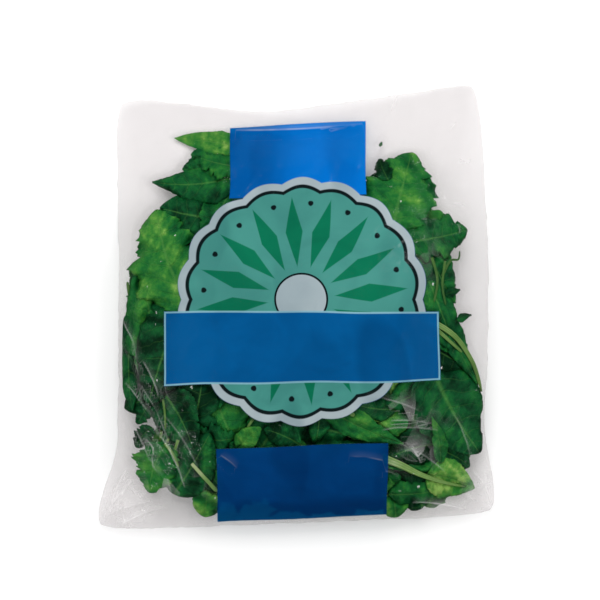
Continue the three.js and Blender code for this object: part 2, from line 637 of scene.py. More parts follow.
@dataclass(frozen=True)
class FrontPrint:
    """The ink on the front film: two plain blue fields, a rayed disc and a straight band across it, with
    painted shade multiplied into its colour where the film sags, tilts or curves away, and towards the left
    of the top field.

    Sizes are millimetres on the film's print map, whose middle is the middle of the bag. A box is a middle
    and half sizes.
    """

    blue: Colour = (0.0005, 0.185, 0.68)
    band_blue: Colour = (0.001, 0.105, 0.32)
    deep_blue: Colour = (0.0005, 0.051, 0.205)
    teal: Colour = (0.07, 0.31, 0.265)
    green: Colour = (0.004, 0.18, 0.09)
    pale: Colour = (0.42, 0.50, 0.53)
    dark: Colour = (0.006, 0.012, 0.014)
    edging: Colour = (0.26, 0.52, 0.62)
    soft: float = 0.35
    top_field: tuple[Place, Place] = ((1.0, 88.0), (41.0, 22.0))
    bottom_field: tuple[Place, Place] = ((3.5, -104.5), (50.5, 22.5))
    deep_below: Range = (-60.0, -61.0)
    # Painted shade: how far the blue darkens towards the left of the top field.
    left_shade: float = 0.65
    left_shade_across: Range = (12.0, -34.0)
    band: tuple[Place, Place] = ((3.0, -24.0), (80.0, 20.0))
    edging_width: float = 1.0
    disc_middle: Place = (3.0, 4.0)
    disc_rim: float = 74.0
    scallops: int = 18
    scallop_depth: float = 3.0
    rim_width: float = 4.5
    outline_width: float = 2.2
    rays: int = 16
    ray_turn: float = 0.25
    ray_middle: float = 41.0
    ray_reach: float = 21.0
    ray_width: float = 5.2
    eye: float = 15.0
    eye_line: Range = (1.2, 0.8)
    dot_ring: float = 58.0
    dot: float = 1.6
    # Painted shade: the colour that the ink is multiplied towards where the film sags, where facets tilt
    # away and at the foot of the bottom field.
    shade: Colour = (0.55, 0.62, 0.66)
    shade_scale: float = 2.2
    shade_from: Range = (0.35, 0.65)
    shade_cover: float = 0.5
    facet_scale: float = 4.0
    facet_softness: float = 0.7
    foot_shade: Range = (-108.0, -121.0)

    def filled(self, past: Signal) -> Signal:
        """Masks a shape by how far places lie past its outline."""
        return past.band(self.soft, -self.soft)

    def rectangle(self, x: Signal, y: Signal, box: tuple[Place, Place], grow: float = 0.0) -> Signal:
        """Masks a rectangle.

        Args:
            x: the print map's first coordinate.
            y: its second coordinate.
            box: the rectangle.
            grow: how far it is grown on every side.

        Returns:
            The mask.
        """
        (middle_x, middle_y), (half_x, half_y) = box
        past_side = abs(x - middle_x) - (half_x + grow)
        past_end = abs(y - middle_y) - (half_y + grow)
        return self.filled(past_side.at_least(past_end))

    def group(self) -> NodeGroup:
        """Builds the print as a group.

        Returns:
            The group, which puts out the ink's colour with its painted shade, and where there is ink.
        """
        group = NodeGroup("Front print", {"UV": "Vector"}, {"Colour": "Color", "Ink": "Float"})
        wire, uv = group.wiring, group.inputs["UV"]
        x, y = (part * PRINT_UNIT for part in wire.split(uv))
        from_x, from_y = x - self.disc_middle[0], y - self.disc_middle[1]
        distance = wire.hypot(from_x, from_y)
        angle = wire.math("ARCTAN2", from_y, from_x)
        wave = abs(wire.math("SINE", angle * (self.scallops / 2)))
        past_rim = distance - wave * self.scallop_depth - (self.disc_rim - self.scallop_depth)
        turn = wire.math("FRACT", angle * (self.rays / math.tau) + self.ray_turn)
        aside = abs(turn - 0.5) * (math.tau / self.rays) * distance
        along = (distance - self.ray_middle) / self.ray_reach
        ray = self.filled(aside - (1.0 - abs(along)) * self.ray_width)
        half_gap = math.pi / self.rays * self.dot_ring
        from_dot = wire.hypot(distance - self.dot_ring, half_gap - aside)
        disc = self.filled(past_rim)
        face = self.filled(past_rim + self.rim_width)
        edged_band = self.rectangle(x, y, self.band, self.edging_width)
        # Painted shade: the blue darkens towards the left of the top field by mixing in the deep blue, which
        # below y -60 is the bottom field's own ink.
        left_shade = x.band(*self.left_shade_across) * self.left_shade
        colour = wire.blend(left_shade.at_least(y.band(*self.deep_below)), self.blue, self.deep_blue)
        layers = (
            (disc, self.pale),
            (face, self.dark),
            (self.filled(past_rim + (self.rim_width + self.outline_width)), self.teal),
            (ray * face, self.green),
            (self.filled(from_dot - self.dot), self.dark),
            (distance.band(*(self.eye + past for past in self.eye_line)), self.dark),
            (distance.band(self.eye, self.eye - self.soft), self.pale),
            (edged_band, self.edging),
            (self.rectangle(x, y, self.band), self.band_blue),
        )
        for mask, ink in layers:
            colour = wire.blend(mask, colour, ink)
        inked = disc.at_least(edged_band)
        for box in (self.top_field, self.bottom_field):
            inked = inked.at_least(self.rectangle(x, y, box))
        # Painted shade multiplied into the ink: soft patches where the film sags, facets by their tilt, and
        # the foot of the bottom field.
        sag_shade = wire.noise(uv, self.shade_scale, 3.0, 1.0).band(*self.shade_from) * self.shade_cover
        shaded = sag_shade.at_least(Facets().light(wire, uv, self.facet_scale, self.facet_softness))
        shaded = shaded.at_least(y.band(*self.foot_shade))
        group.put_out({"Colour": wire.blend(shaded, colour, self.shade, "MULTIPLY"), "Ink": inked})
        return group


@dataclass(frozen=True)
class FilmHaze:
    """The film's haze: even where it hangs free, gone where it lies on wet leaves, white in folds, partly as
    the film whitens there and partly as a painted highlight, with a painted sheen beside each fold, painted
    glare on rucked facets and painted glints on drops of water.

    Scales are counts to the metre. The line of a fold and the painted sheen beside it are millimetres wide.
    """

    cloud: float = 0.6
    cloud_change: float = 0.8
    cloud_scale: float = 28.0
    cloud_swirl: float = 0.6
    wrinkle_scale: float = 380.0
    break_scale: float = 55.0
    breaks: Range = (0.3, 0.6)
    line: Range = (0.75, 0.15)
    line_cover: float = 0.28
    # Painted sheen beside a fold: its reach, where it starts and how strongly it covers.
    beside: Range = (6.0, 0.0)
    beside_start: Range = (-0.4, 0.2)
    beside_sheen_cover: float = 0.06
    # Painted glints on drops of water: their size, how they are stirred and chosen, and how strongly they
    # cover.
    drop_scale: float = 380.0
    drop_stir: float = 0.0025
    drop_stir_scale: float = 700.0
    drop_choice: Range = (0.982, 0.987)
    drop_size: Range = (0.3, 0.1)
    drop_glint_cover: float = 0.6
    # Painted glare on rucked facets: their scale and how strongly they cover.
    facet_scale: float = 115.0
    facet_glare_cover: float = 0.4

    def group(self) -> NodeGroup:
        """Builds the haze as a group.

        Returns:
            The group, which puts out the haze with its painted highlights, sheen, glare and glints, the
            folds' part of it and the height of the crinkles.
        """
        names = ("Fold off", "Fold strength", "Veil", "Touch", "Free")
        inputs = {"Place": "Vector", **dict.fromkeys(names, "Float")}
        group = NodeGroup("Film haze", inputs, dict.fromkeys(("Haze", "Crease", "Height"), "Float"))
        wire, place = group.wiring, group.inputs["Place"]
        off, strength, veil, touch, free = (group.inputs[name] for name in names)
        clouds = wire.noise(place, self.cloud_scale, 3.0, self.cloud_swirl)
        cloudy = (1.0 - touch) * free * (clouds * self.cloud_change + self.cloud)
        wrinkle = 1.0 - abs(wire.noise(place, self.wrinkle_scale, 2.0, 1.0) * 2.0 - 1.0)
        broken = wire.noise(place, self.break_scale).band(*self.breaks)
        # The white line of a fold: partly the film whitening, partly a painted highlight.
        line = abs(off).band(*self.line) * broken * strength
        # Painted sheen on one side of each fold.
        beside = off.band(*self.beside) * off.band(*self.beside_start)
        crease = (beside * beside * strength * self.beside_sheen_cover + line * self.line_cover).clamped()
        # Painted glare on the rucked facets of the film.
        facet = Facets().light(wire, place, self.facet_scale)
        haze = (crease + veil * facet * self.facet_glare_cover + cloudy).clamped()
        # Painted glints: white dots on the drops of water where the film lies on leaves.
        drops = self.drops(wire, place) * touch * self.drop_glint_cover
        group.put_out({"Haze": haze.at_least(drops), "Crease": crease, "Height": wrinkle})
        return group

    def drops(self, wire: Wiring, place: Signal) -> Signal:
        """Draws the small drops of water between the film and the leaves, as white dots of painted glint.

        Args:
            wire: the wiring to add them to.
            place: the coordinates to read.

        Returns:
            The drops' mask.
        """
        swirls = {"Vector": place, "Scale": self.drop_stir_scale, "Detail": 1.0}
        stir = wire.read("Color", "TexNoise", swirls)
        moves = {0: stir, 1: (self.drop_stir,) * 3, 2: place}
        moved = wire.read(0, "VectorMath", moves, operation="MULTIPLY_ADD")
        cells = wire.add("TexVoronoi", {"Vector": moved, "Scale": self.drop_scale})
        colour, distance = (Signal(wire, cells.outputs[name]) for name in ("Color", "Distance"))
        chosen = wire.read(0, "SeparateColor", {0: colour}).band(*self.drop_choice)
        return distance.band(*self.drop_size) * chosen


@dataclass(frozen=True)
class FilmFinish:
    """Clear glossy film, hazy where it hangs free, and nearly opaque where it is printed; its haze carries
    painted highlights, sheen, glare and glints, and its print painted shade.
    """

    tint: Colour = (0.947, 0.937, 0.938)
    ink_tint: Colour = (0.005, 0.40, 0.75)
    haze: Colour = (0.90, 0.878, 0.878)
    back_haze: float = 0.07
    front_haze: float = 0.22
    ink_cover: float = 0.85
    ink_edge: float = 0.15
    body_roughness: float = 0.5
    roughness: float = 0.12
    mirror: float = 0.035
    rim: float = 0.12
    inked_rim: float = -0.06
    rim_tightness: float = 6.0
    crinkle_strength: float = 0.35
    crinkle_height: float = 0.3

    def material(self, haze: NodeGroup, ink: NodeGroup) -> bpy.types.Material:
        """Builds the finish.

        Args:
            haze: the group for haze and crinkles.
            ink: the group for the print.

        Returns:
            The material, which reads the film's numbers and its UV map print.
        """
        material, wire, surface = new_material("film")
        front = wire.number("front")
        reads = {"Fold off": "fold_off", "Fold strength": "fold_strength", "Veil": "veil", "Touch": "touch"}
        folds = {label: wire.number(name) for label, name in reads.items()}
        free = front * (self.front_haze - self.back_haze) + self.back_haze
        cloud = haze.add_to(wire, {"Place": wire.place(), "Free": free, **folds})
        printed = ink.add_to(wire, {"UV": wire.uv("print")})
        inked = printed["Ink"] * front
        # Creases whiten the print too, partly as the film whitens and partly as a painted highlight.
        whitened_and_highlit = wire.blend(cloud["Crease"], printed["Colour"], self.haze)
        body = {
            "Base Color": wire.blend(inked.band(0.0, self.ink_edge), self.haze, whitened_and_highlit),
            "Roughness": self.body_roughness,
            "Specular IOR Level": 0.0,
        }
        gloss = {
            "Base Color": (1.0, 1.0, 1.0),
            "Metallic": 1.0,
            "Roughness": self.roughness,
            "Normal": wire.bump(cloud["Height"], self.crinkle_strength, self.crinkle_height),
        }
        cover = cloud["Haze"].at_least(inked * self.ink_cover)
        clear = wire.read(0, "BsdfTransparent", {"Color": wire.blend(inked, self.tint, self.ink_tint)})
        opaque, shine = (wire.read(0, "BsdfPrincipled", inputs) for inputs in (body, gloss))
        facing = wire.read("Facing", "LayerWeight", {"Blend": 0.5})
        grazing = facing ** self.rim_tightness * (inked * self.inked_rim + self.rim) + self.mirror
        sheet = wire.read(0, "MixShader", {0: cover, 1: clear, 2: opaque})
        wire.feed(surface, wire.read(0, "MixShader", {0: grazing, 1: sheet, 2: shine}))
        return material


@dataclass(frozen=True)
class FloorFinish:
    """A plain white matt floor, lit a little from below as a light table is."""

    colour: Colour = (0.96, 0.96, 0.96)
    roughness: float = 0.9
    glow: float = 0.12

    def material(self) -> bpy.types.Material:
        """Builds the finish.

        Returns:
            The material.
        """
        material, wire, surface = new_material("floor")
        inputs = {
            "Base Color": self.colour,
            "Roughness": self.roughness,
            "Specular IOR Level": 0.0,
            "Emission Color": self.colour,
            "Emission Strength": self.glow,
        }
        wire.feed(surface, wire.read(0, "BsdfPrincipled", inputs))
        return material


class Side(Enum):
    """The two sides of the bag that leaves lie against; the value is the side's direction in z."""

    FRONT = 1
    BACK = -1


@dataclass
class BagSpace:
    """The room inside the bag: the heights of its front and back over a plan grid, in millimetres."""

    solid: bpy.types.Object
    step: float = 1.5
    skin: float = 1.2
    weld_room: float = 1.2
    reach: float = 200.0
    end_rows: int = 2
    middle_gap: float = 0.3
    contact_gaps: Range = (28.0, 13.0)  # from hanging free to touching

    def __post_init__(self) -> None:
        """Measures the room from the bag's solid."""
        low, high = (np.array(corner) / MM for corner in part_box(SOLID))
        self.low = low[:2]
        self.counts = np.ceil((high - low)[:2] / self.step).astype(int) + 1
        tree = self.surface()
        measured = {side: self.heights(tree, side) for side in Side}
        self.welds = self.weld_lines(measured[Side.FRONT])
        self.film = {side: self.filled(grid) for side, grid in measured.items()}
        self.middle = (self.film[Side.FRONT] + self.film[Side.BACK]) / 2
        self.ceiling = {side: side.value * self.film[side] - self.skin for side in Side}
        self.top = {side: np.full_like(self.middle, -self.reach) for side in Side}
        self.cover = {side: np.zeros_like(self.middle) for side in Side}

    def surface(self) -> BVHTree:
        """Makes the solid's surface ready to be measured.

        Returns:
            The surface, in metres.
        """
        bm = bmesh.new()
        bm.from_mesh(self.solid.data)
        tree = BVHTree.FromBMesh(bm)
        bm.free()
        return tree

    def heights(self, tree: BVHTree, side: Side) -> np.ndarray:
        """Measures the height of one side at each point of the grid.

        Args:
            tree: the solid's surface.
            side: the side to measure.

        Returns:
            The heights, with gaps outside the bag.
        """
        down = Vector((0, 0, -side.value))
        grid = np.full((self.counts[1], self.counts[0]), np.nan)
        for row, column in np.ndindex(grid.shape):
            x, y = self.low + self.step * np.array((column, row))
            start = Vector((x, y, side.value * self.reach)) * MM
            hit = tree.ray_cast(start, down)[0]
            if hit is not None:
                grid[row, column] = hit.z / MM
        return grid

    def weld_lines(self, grid: np.ndarray) -> list[np.ndarray]:
        """Finds the side welds, apart from the bag's rounded ends.

        Args:
            grid: the heights of the front.

        Returns:
            For each side, its x in each row of the grid.
        """
        x = self.low[0] + self.step * np.arange(self.counts[0])
        columns = np.where(np.isnan(grid), np.nan, x)[self.end_rows:-self.end_rows]
        outer = np.nanmin(columns, axis=1), np.nanmax(columns, axis=1)
        return [np.pad(edge, self.end_rows, mode="edge") for edge in outer]

    @staticmethod
    def filled(grid: np.ndarray) -> np.ndarray:
        """Fills the gaps of a grid from their neighbours.

        Args:
            grid: the grid.

        Returns:
            The grid without gaps.
        """
        while np.isnan(grid).any():
            around = neighbours(np.pad(grid, 1, constant_values=np.nan))
            known = ~np.isnan(around)
            total = np.where(known, around, 0).sum(axis=0)
            mean = np.where(known.any(axis=0), total / np.maximum(known.sum(axis=0), 1), np.nan)
            grid = np.where(np.isnan(grid), mean, grid)
        return grid

    def read(self, grid: np.ndarray, places: np.ndarray) -> np.ndarray:
        """Reads a grid between its points.

        Args:
            grid: the grid.
            places: the places, with x and y in the last axis.

        Returns:
            The value at each place.
        """
        at = (places - self.low) / self.step
        cell = np.clip(np.floor(at).astype(int), 0, self.counts - 2)
        part = np.clip(at - cell, 0, 1)
        column, row = cell[..., 0], cell[..., 1]
        x, y = part[..., 0], part[..., 1]
        lower = grid[row, column] * (1 - x) + grid[row, column + 1] * x
        upper = grid[row + 1, column] * (1 - x) + grid[row + 1, column + 1] * x
        return lower * (1 - y) + upper * y

    def keep_in(self, plan: np.ndarray) -> np.ndarray:
        """Draws places that come too near the side welds back into the bag.

        Args:
            plan: the places, with x and y in the last axis.

        Returns:
            The places, all inside.
        """
        rows = self.low[1] + self.step * np.arange(self.counts[1])
        x, y = plan[..., 0], plan[..., 1]
        for sign, weld in zip((-1, 1), self.welds):
            limit = sign * np.interp(y, rows, weld) - 2 * self.weld_room
            past = np.maximum(sign * x - limit, 0)
            x = x - sign * (past - self.weld_room * (1 - np.exp(-past / self.weld_room)))
        return np.stack((x, y), axis=-1)

    def press(
        self, side: Side, plan: np.ndarray, rise: np.ndarray, thick: float, rounds: int
    ) -> np.ndarray:
        """Presses a sheet against one side, under the film and under what already lies there.

        Args:
            side: the side that it lies against.
            plan: the sheet's places, as rows and columns.
            rise: how far each place would stand from the film towards the viewer, mostly below 0.
            thick: the sheet's thickness.
            rounds: how often the bends round other sheets are softened.

        Returns:
            The sheet's heights in z.
        """
        wished = side.value * self.read(self.film[side], plan) + rise
        limit = self.read(self.ceiling[side], plan) - thick
        drop = np.maximum(wished - limit, 0)
        for _ in range(rounds):
            drop = np.maximum(drop, neighbours(np.pad(drop, 1, mode="edge")).sum(axis=0) / 4)
        deepest = side.value * self.read(self.middle, plan) + self.middle_gap
        height = np.maximum(wished - drop, deepest)
        self.occupy(side, plan, height, thick)
        return side.value * height

    def occupy(self, side: Side, plan: np.ndarray, height: np.ndarray, thick: float) -> None:
        """Marks the room that a sheet takes up.

        Args:
            side: the side that it lies against.
            plan: the sheet's places, as rows and columns.
            height: its heights along the side's direction.
            thick: its thickness.
        """
        sheet = np.concatenate((plan, height[..., None]), axis=-1)
        while np.abs(np.diff(sheet[..., :2], axis=0)).max() > self.step / 2:
            sheet = self.denser(sheet)
        cell = np.rint((sheet[..., :2] - self.low) / self.step).astype(int)
        cell = np.clip(cell, 0, self.counts - 1).reshape(-1, 2)
        at = (cell[:, 1], cell[:, 0])
        np.minimum.at(self.ceiling[side], at, sheet[..., 2].ravel() - thick)
        np.maximum.at(self.top[side], at, sheet[..., 2].ravel())
        columns, rows = np.unique(cell, axis=0).T
        self.cover[side][rows, columns] += 1

    @staticmethod
    def denser(grid: np.ndarray) -> np.ndarray:
        """Puts a row and a column of middles between those of a grid.

        Args:
            grid: the grid.

        Returns:
            The denser grid.
        """
        rows = np.repeat(grid, 2, axis=0)[:-1]
        rows[1::2] = (grid[:-1] + grid[1:]) / 2
        both = np.repeat(rows, 2, axis=1)[:, :-1]
        both[:, 1::2] = (rows[:, :-1] + rows[:, 1:]) / 2
        return both

    def contact(self, side: Side) -> np.ndarray:
        """Finds where the film lies on the leaves.

        Args:
            side: the side of the bag.

        Returns:
            A grid that is 1 where the film touches leaves and 0 where it hangs free.
        """
        touch = smooth_step(*self.contact_gaps, side.value * self.film[side] - self.top[side])
        height, width = touch.shape
        for spread in (np.max, np.mean, np.mean):
            padded = np.pad(touch, 1, mode="edge")
            shifted = [padded[i:i + height, j:j + width] for i in range(3) for j in range(3)]
            touch = spread(shifted, axis=0)
        return touch


@dataclass(frozen=True)
class FilmFold:
    """One fold in the slack film: a narrow ridge from one place to another."""

    start: Place
    end: Place
    height: float = 1.0
    width: float = 1.3
    bow: float = 0.05
    fade_from: float = 0.6

    def measure(self, places: np.ndarray) -> tuple[np.ndarray, np.ndarray]:
        """Measures how places lie to the fold.

        Args:
            places: the places, one row each.

        Returns:
            Their distance from its line, signed by side, and how strong it is beside them.
        """
        start, end = np.array(self.start), np.array(self.end)
        run = end - start
        length = np.linalg.norm(run)
        along = np.clip(((places - start) @ run) / (run @ run), 0, 1)
        bow = np.sin(np.pi * along) * self.bow * length
        aside = (places - start) @ left_of(run) / length - bow
        beside = smooth_step(FOLD_REACH, self.fade_from * FOLD_REACH, np.abs(aside))
        return aside, np.sin(np.pi * along) ** 0.5 * beside


# Each fold lifts the film and also paints its crease line, partly whitening and partly a painted highlight,
# with a painted sheen beside it.
FOLDS = (
    FilmFold((-104, -7), (-94, -32), 0.8),
    FilmFold((-102, -45), (-81, -75), 0.75),
    FilmFold((-83, -72), (-66, -108), 0.75),
    FilmFold((-91, -32), (-81, -54), 0.7),
    FilmFold((-99, -22), (-93, -49), 0.7),
    FilmFold((-98, -70), (-87, -92), 0.55),
    FilmFold((55, -67), (80, -69), 0.8),
    FilmFold((50, -72), (84, -73), 0.6),
    FilmFold((69, -117), (102, -122), 0.9),
    FilmFold((105, -97), (117, -119), 1.0),
    FilmFold((-116, -129), (-97, -103), 1.2),
    FilmFold((-115, -126), (-86, -116), 1.2),
    FilmFold((-107, -132), (-77, -119), 1.0),
    FilmFold((-111, -120), (-101, -97), 1.0),
    FilmFold((-106, -20), (-90, -62), 0.35),
    FilmFold((-97, -40), (-74, -84), 0.45),
    FilmFold((-78, -64), (-58, -96), 0.4),
    FilmFold((-104, -62), (-96, -88), 0.6),
    FilmFold((60, -80), (88, -98), 0.5),
    FilmFold((40, -52), (74, -62), 0.5),
    FilmFold((92, -62), (104, -92), 0.35),
    FilmFold((-90, -78), (-85, -90), 0.9, bow=0.2),
    FilmFold((-85, -88), (-80, -100), 0.9, bow=-0.2),
    # Folds along the top edge of the top field, whose crease lines paint a highlight there.
    FilmFold((-38, 106.8), (41, 110.6), 0.9, bow=-0.015),
    FilmFold((14, 107), (36, 109), 0.7),
    FilmFold((20, 105.5), (30, 107.5), 0.6),
    FilmFold((64, -79), (74, -93), 0.8),
    FilmFold((-45, -87), (-35, -95), 0.5),
    FilmFold((30, -88), (52, -91), 0.5),
)


@dataclass(frozen=True)
class GlareVeil:
    """A patch where the slack film is rucked up and clouds over, and its facets are painted with glare, a
    painted reflection.
    """

    middle: Place
    half: Place
    strength: float

    def measure(self, places: np.ndarray) -> np.ndarray:
        """Measures how strong the veil is at places, one row each."""
        away = (places - np.array(self.middle)) / np.array(self.half)
        return self.strength * np.exp(-(away ** 2).sum(axis=1))


# Patches where the rucked film clouds over and carries painted glare.
GLARE_VEILS = (
    GlareVeil((71, -86), (8, 8), 1.05),
    GlareVeil((40, -50), (14, 8), 0.5),
    GlareVeil((66, -62), (18, 8), 0.5),
    GlareVeil((-84, -70), (14, 22), 0.15),
    GlareVeil((-70, -108), (12, 7), 0.8),
    GlareVeil((72, 30), (12, 14), 0.2),
    GlareVeil((-103, -119), (15, 12), 0.5),
    GlareVeil((109, -113), (9, 13), 0.5),
)


@dataclass(frozen=True)
class LooseFilm:
    """A part of the film that hangs loose, with short creases that lean one way more or less, in degrees."""

    middle: Place
    half: Place
    creases: int
    lean: float = 0.0
    fan: float = 90.0


LOOSE_FILM = (
    LooseFilm((-100, -117), (13, 11), 12),
    LooseFilm((110, -114), (7, 12), 6),
    LooseFilm((70, 112), (34, 12), 4),
    LooseFilm((101, 70), (9, 40), 4),
    LooseFilm((-84, -78), (18, 30), 4, lean=-62, fan=16),
    LooseFilm((78, -80), (22, 22), 5, lean=-14, fan=20),
)


@dataclass
class Film:
    """The film of the bag: front and back in one closed skin, with folds, crinkles and welded sides."""

    solid: bpy.types.Object
    space: BagSpace
    cuts: int = 3
    weld: float = 0.01
    softening: int = 6
    softness: float = 0.5
    seam: float = 0.05
    crinkle: float = 0.55
    crinkle_size: float = 17.0
    ripple: float = 0.22
    ripple_size: float = 6.0
    ripple_shift: tuple[float, float, float] = (7.0, 3.0, 1.0)
    crest: float = 2.4
    back_share: float = 0.35
    faintest_fold: float = 0.01
    crease_seed: int = 5
    crease_lengths: Range = (6.0, 16.0)
    crease_heights: Range = (0.12, 0.5)
    crease_bows: Range = (-0.15, 0.15)
    crease_width: float = 1.0
    print_lean: float = 0.045
    lean_reach: float = 100.0
    print_drift: float = 1.1
    print_drift_size: float = 38.0
    drift_shifts: tuple[tuple[float, float, float], ...] = ((3.3, 0.0, 0.0), (0.0, 5.7, 0.0))

    def skin(self) -> bmesh.types.BMesh:
        """Models the smooth skin of the full bag.

        Returns:
            The skin, in metres.
        """
        bm = bmesh.new()
        bm.from_mesh(self.solid.data)
        bmesh.ops.remove_doubles(bm, verts=bm.verts, dist=self.weld * MM)
        flat = {"angle_face_threshold": math.pi, "angle_shape_threshold": math.pi}
        bmesh.ops.join_triangles(bm, faces=bm.faces, **flat)
        bmesh.ops.subdivide_edges(bm, edges=bm.edges, cuts=self.cuts, use_grid_fill=True)
        axes = {"use_axis_x": True, "use_axis_y": True, "use_axis_z": True}
        for _ in range(self.softening):
            bmesh.ops.smooth_vert(bm, verts=bm.verts, factor=self.softness, **axes)
        bm.normal_update()
        return bm

    def build(self, material: bpy.types.Material) -> bpy.types.Object:
        """Models the film over the bag's solid.

        Args:
            material: its finish.

        Returns:
            The film.
        """
        bm = self.skin()
        places = np.array([vert.co for vert in bm.verts]) / MM
        normals = np.array([vert.normal for vert in bm.verts])
        front = smooth_step(-self.seam, self.seam, normals[:, 2])
        touching = [self.space.read(self.space.contact(side), places[:, :2]) for side in Side]
        touch = np.where(front > 0.5, *touching)
        lift, off, strength = self.folds(places, front)
        places += normals * lift[:, None]
        places[:, 2] = np.maximum(places[:, 2], 0.0)
        for vert, place in zip(bm.verts, places):
            vert.co = Vector(place) * MM
        mesh = mesh_from(bm, "film")
        add_uv(mesh, "print", self.print_map(places))
        # Painted glare: how strongly the front film's rucked facets are painted with glare, patch by patch.
        veil = front * sum(veil.measure(places[:, :2]) for veil in GLARE_VEILS)
        numbers = {"front": front, "fold_off": off, "fold_strength": strength, "touch": touch, "veil": veil}
        for name, values in numbers.items():
            add_numbers(mesh, name, values)
        return make_piece("film", mesh, material)

    def folds(self, places: np.ndarray, front: np.ndarray) -> tuple[np.ndarray, np.ndarray, np.ndarray]:
        """Works out how the film folds.

        Args:
            places: the film's vertices.
            front: 1 for those of the front.

        Returns:
            For each vertex how far it is lifted along its normal, its signed distance from the nearest
            fold and how strong that fold is there.
        """
        rough = np.array([self.crinkles(place) for place in places])
        lift = rough[:, 0] * self.crinkle + rough[:, 1] * self.ripple
        off = np.full(len(places), FOLD_REACH)
        strength = np.zeros(len(places))
        for fold in (*FOLDS, *self.creases()):
            aside, strong = fold.measure(places[:, :2])
            lift += fold.height * strong * front * np.exp(-np.abs(aside) / fold.width)
            nearer = (np.abs(aside) < np.abs(off)) & (strong * front > self.faintest_fold)
            off = np.where(nearer, aside, off)
            strength = np.where(nearer, strong * fold.height, strength)
        return lift * (self.back_share + (1 - self.back_share) * front), off, strength

    def creases(self) -> list[FilmFold]:
        """Draws short creases in the parts of the film that hang loose.

        Returns:
            The creases.
        """
        rng = np.random.default_rng(self.crease_seed)
        either_way = (-1.0, 1.0)
        sizes = self.crease_lengths, self.crease_heights, self.crease_bows
        creases = []
        for loose in LOOSE_FILM:
            for _ in range(loose.creases):
                x, y, swing, length, height, bow = draw(rng, *[either_way] * 3, *sizes)
                at = np.array(loose.middle) + np.array((x, y)) * np.array(loose.half)
                half = heading(math.radians(loose.lean + swing * loose.fan)) * length / 2
                creases.append(FilmFold(tuple(at - half), tuple(at + half), height, self.crease_width, bow))
        return creases

    def crinkles(self, place: np.ndarray) -> tuple[float, float]:
        """Reads the coarse and the fine crinkles at one vertex, each a sharp crest between hollows.

        Args:
            place: the vertex.

        Returns:
            The height of each, up to 1 on a crest.
        """
        coarse = noise.noise(Vector(place) / self.crinkle_size)
        fine = noise.noise(Vector(place) / self.ripple_size + Vector(self.ripple_shift))
        return 1 - self.crest * abs(coarse), 1 - self.crest * abs(fine)

    def print_map(self, places: np.ndarray) -> np.ndarray:
        """Lays the print on the film: straight on the flat film, so that it leans and sags as the bag does.

        Args:
            places: the film's vertices.

        Returns:
            The map, in print units.
        """
        x, y = places[:, 0], places[:, 1]
        lean = self.print_lean * x * np.clip(np.abs(y) / self.lean_reach, 0, 1)
        shifts = [Vector(shift) for shift in self.drift_shifts]
        spots = [Vector(place) / self.print_drift_size for place in places]
        drift = np.array([[noise.noise(spot + shift) for shift in shifts] for spot in spots])
        return (np.column_stack((x, y - lean)) + self.print_drift * drift) / PRINT_UNIT


@dataclass(frozen=True)
class LeafHabit:
    """How the blades of one kind of leaf grow.

    Lobes, teeth and ruffles are shares of the blade's half width; tears and waves are counted on a margin.
    """

    widest: float
    fullness: float
    lobes: float
    teeth: float
    tears: int
    ruffle: float
    waves: float
    fold: float


class LeafKind(Enum):
    """The shapes of young spinach leaves."""

    OVAL = LeafHabit(
        widest=0.74, fullness=0.66, lobes=0.05, teeth=0.035, tears=1, ruffle=0.10, waves=2.4, fold=0.12
    )
    POINTED = LeafHabit(
        widest=0.62, fullness=0.9, lobes=0.05, teeth=0.05, tears=1, ruffle=0.12, waves=3.0, fold=0.2
    )
    LOBED = LeafHabit(
        widest=0.78, fullness=0.6, lobes=0.15, teeth=0.08, tears=2, ruffle=0.16, waves=4.0, fold=0.15
    )
    FRILLY = LeafHabit(
        widest=0.8, fullness=0.55, lobes=0.10, teeth=0.12, tears=3, ruffle=0.24, waves=5.5, fold=0.1
    )
    FOLDED = LeafHabit(
        widest=0.66, fullness=0.8, lobes=0.04, teeth=0.04, tears=0, ruffle=0.08, waves=2.0, fold=0.9
    )


@dataclass(frozen=True)
class Leaf:
    """One leaf: where its blade starts and ends in plan, its width, its tone and how deep it lies."""

    kind: LeafKind
    base: Place
    tip: Place
    width: float
    tone: float
    depth: float


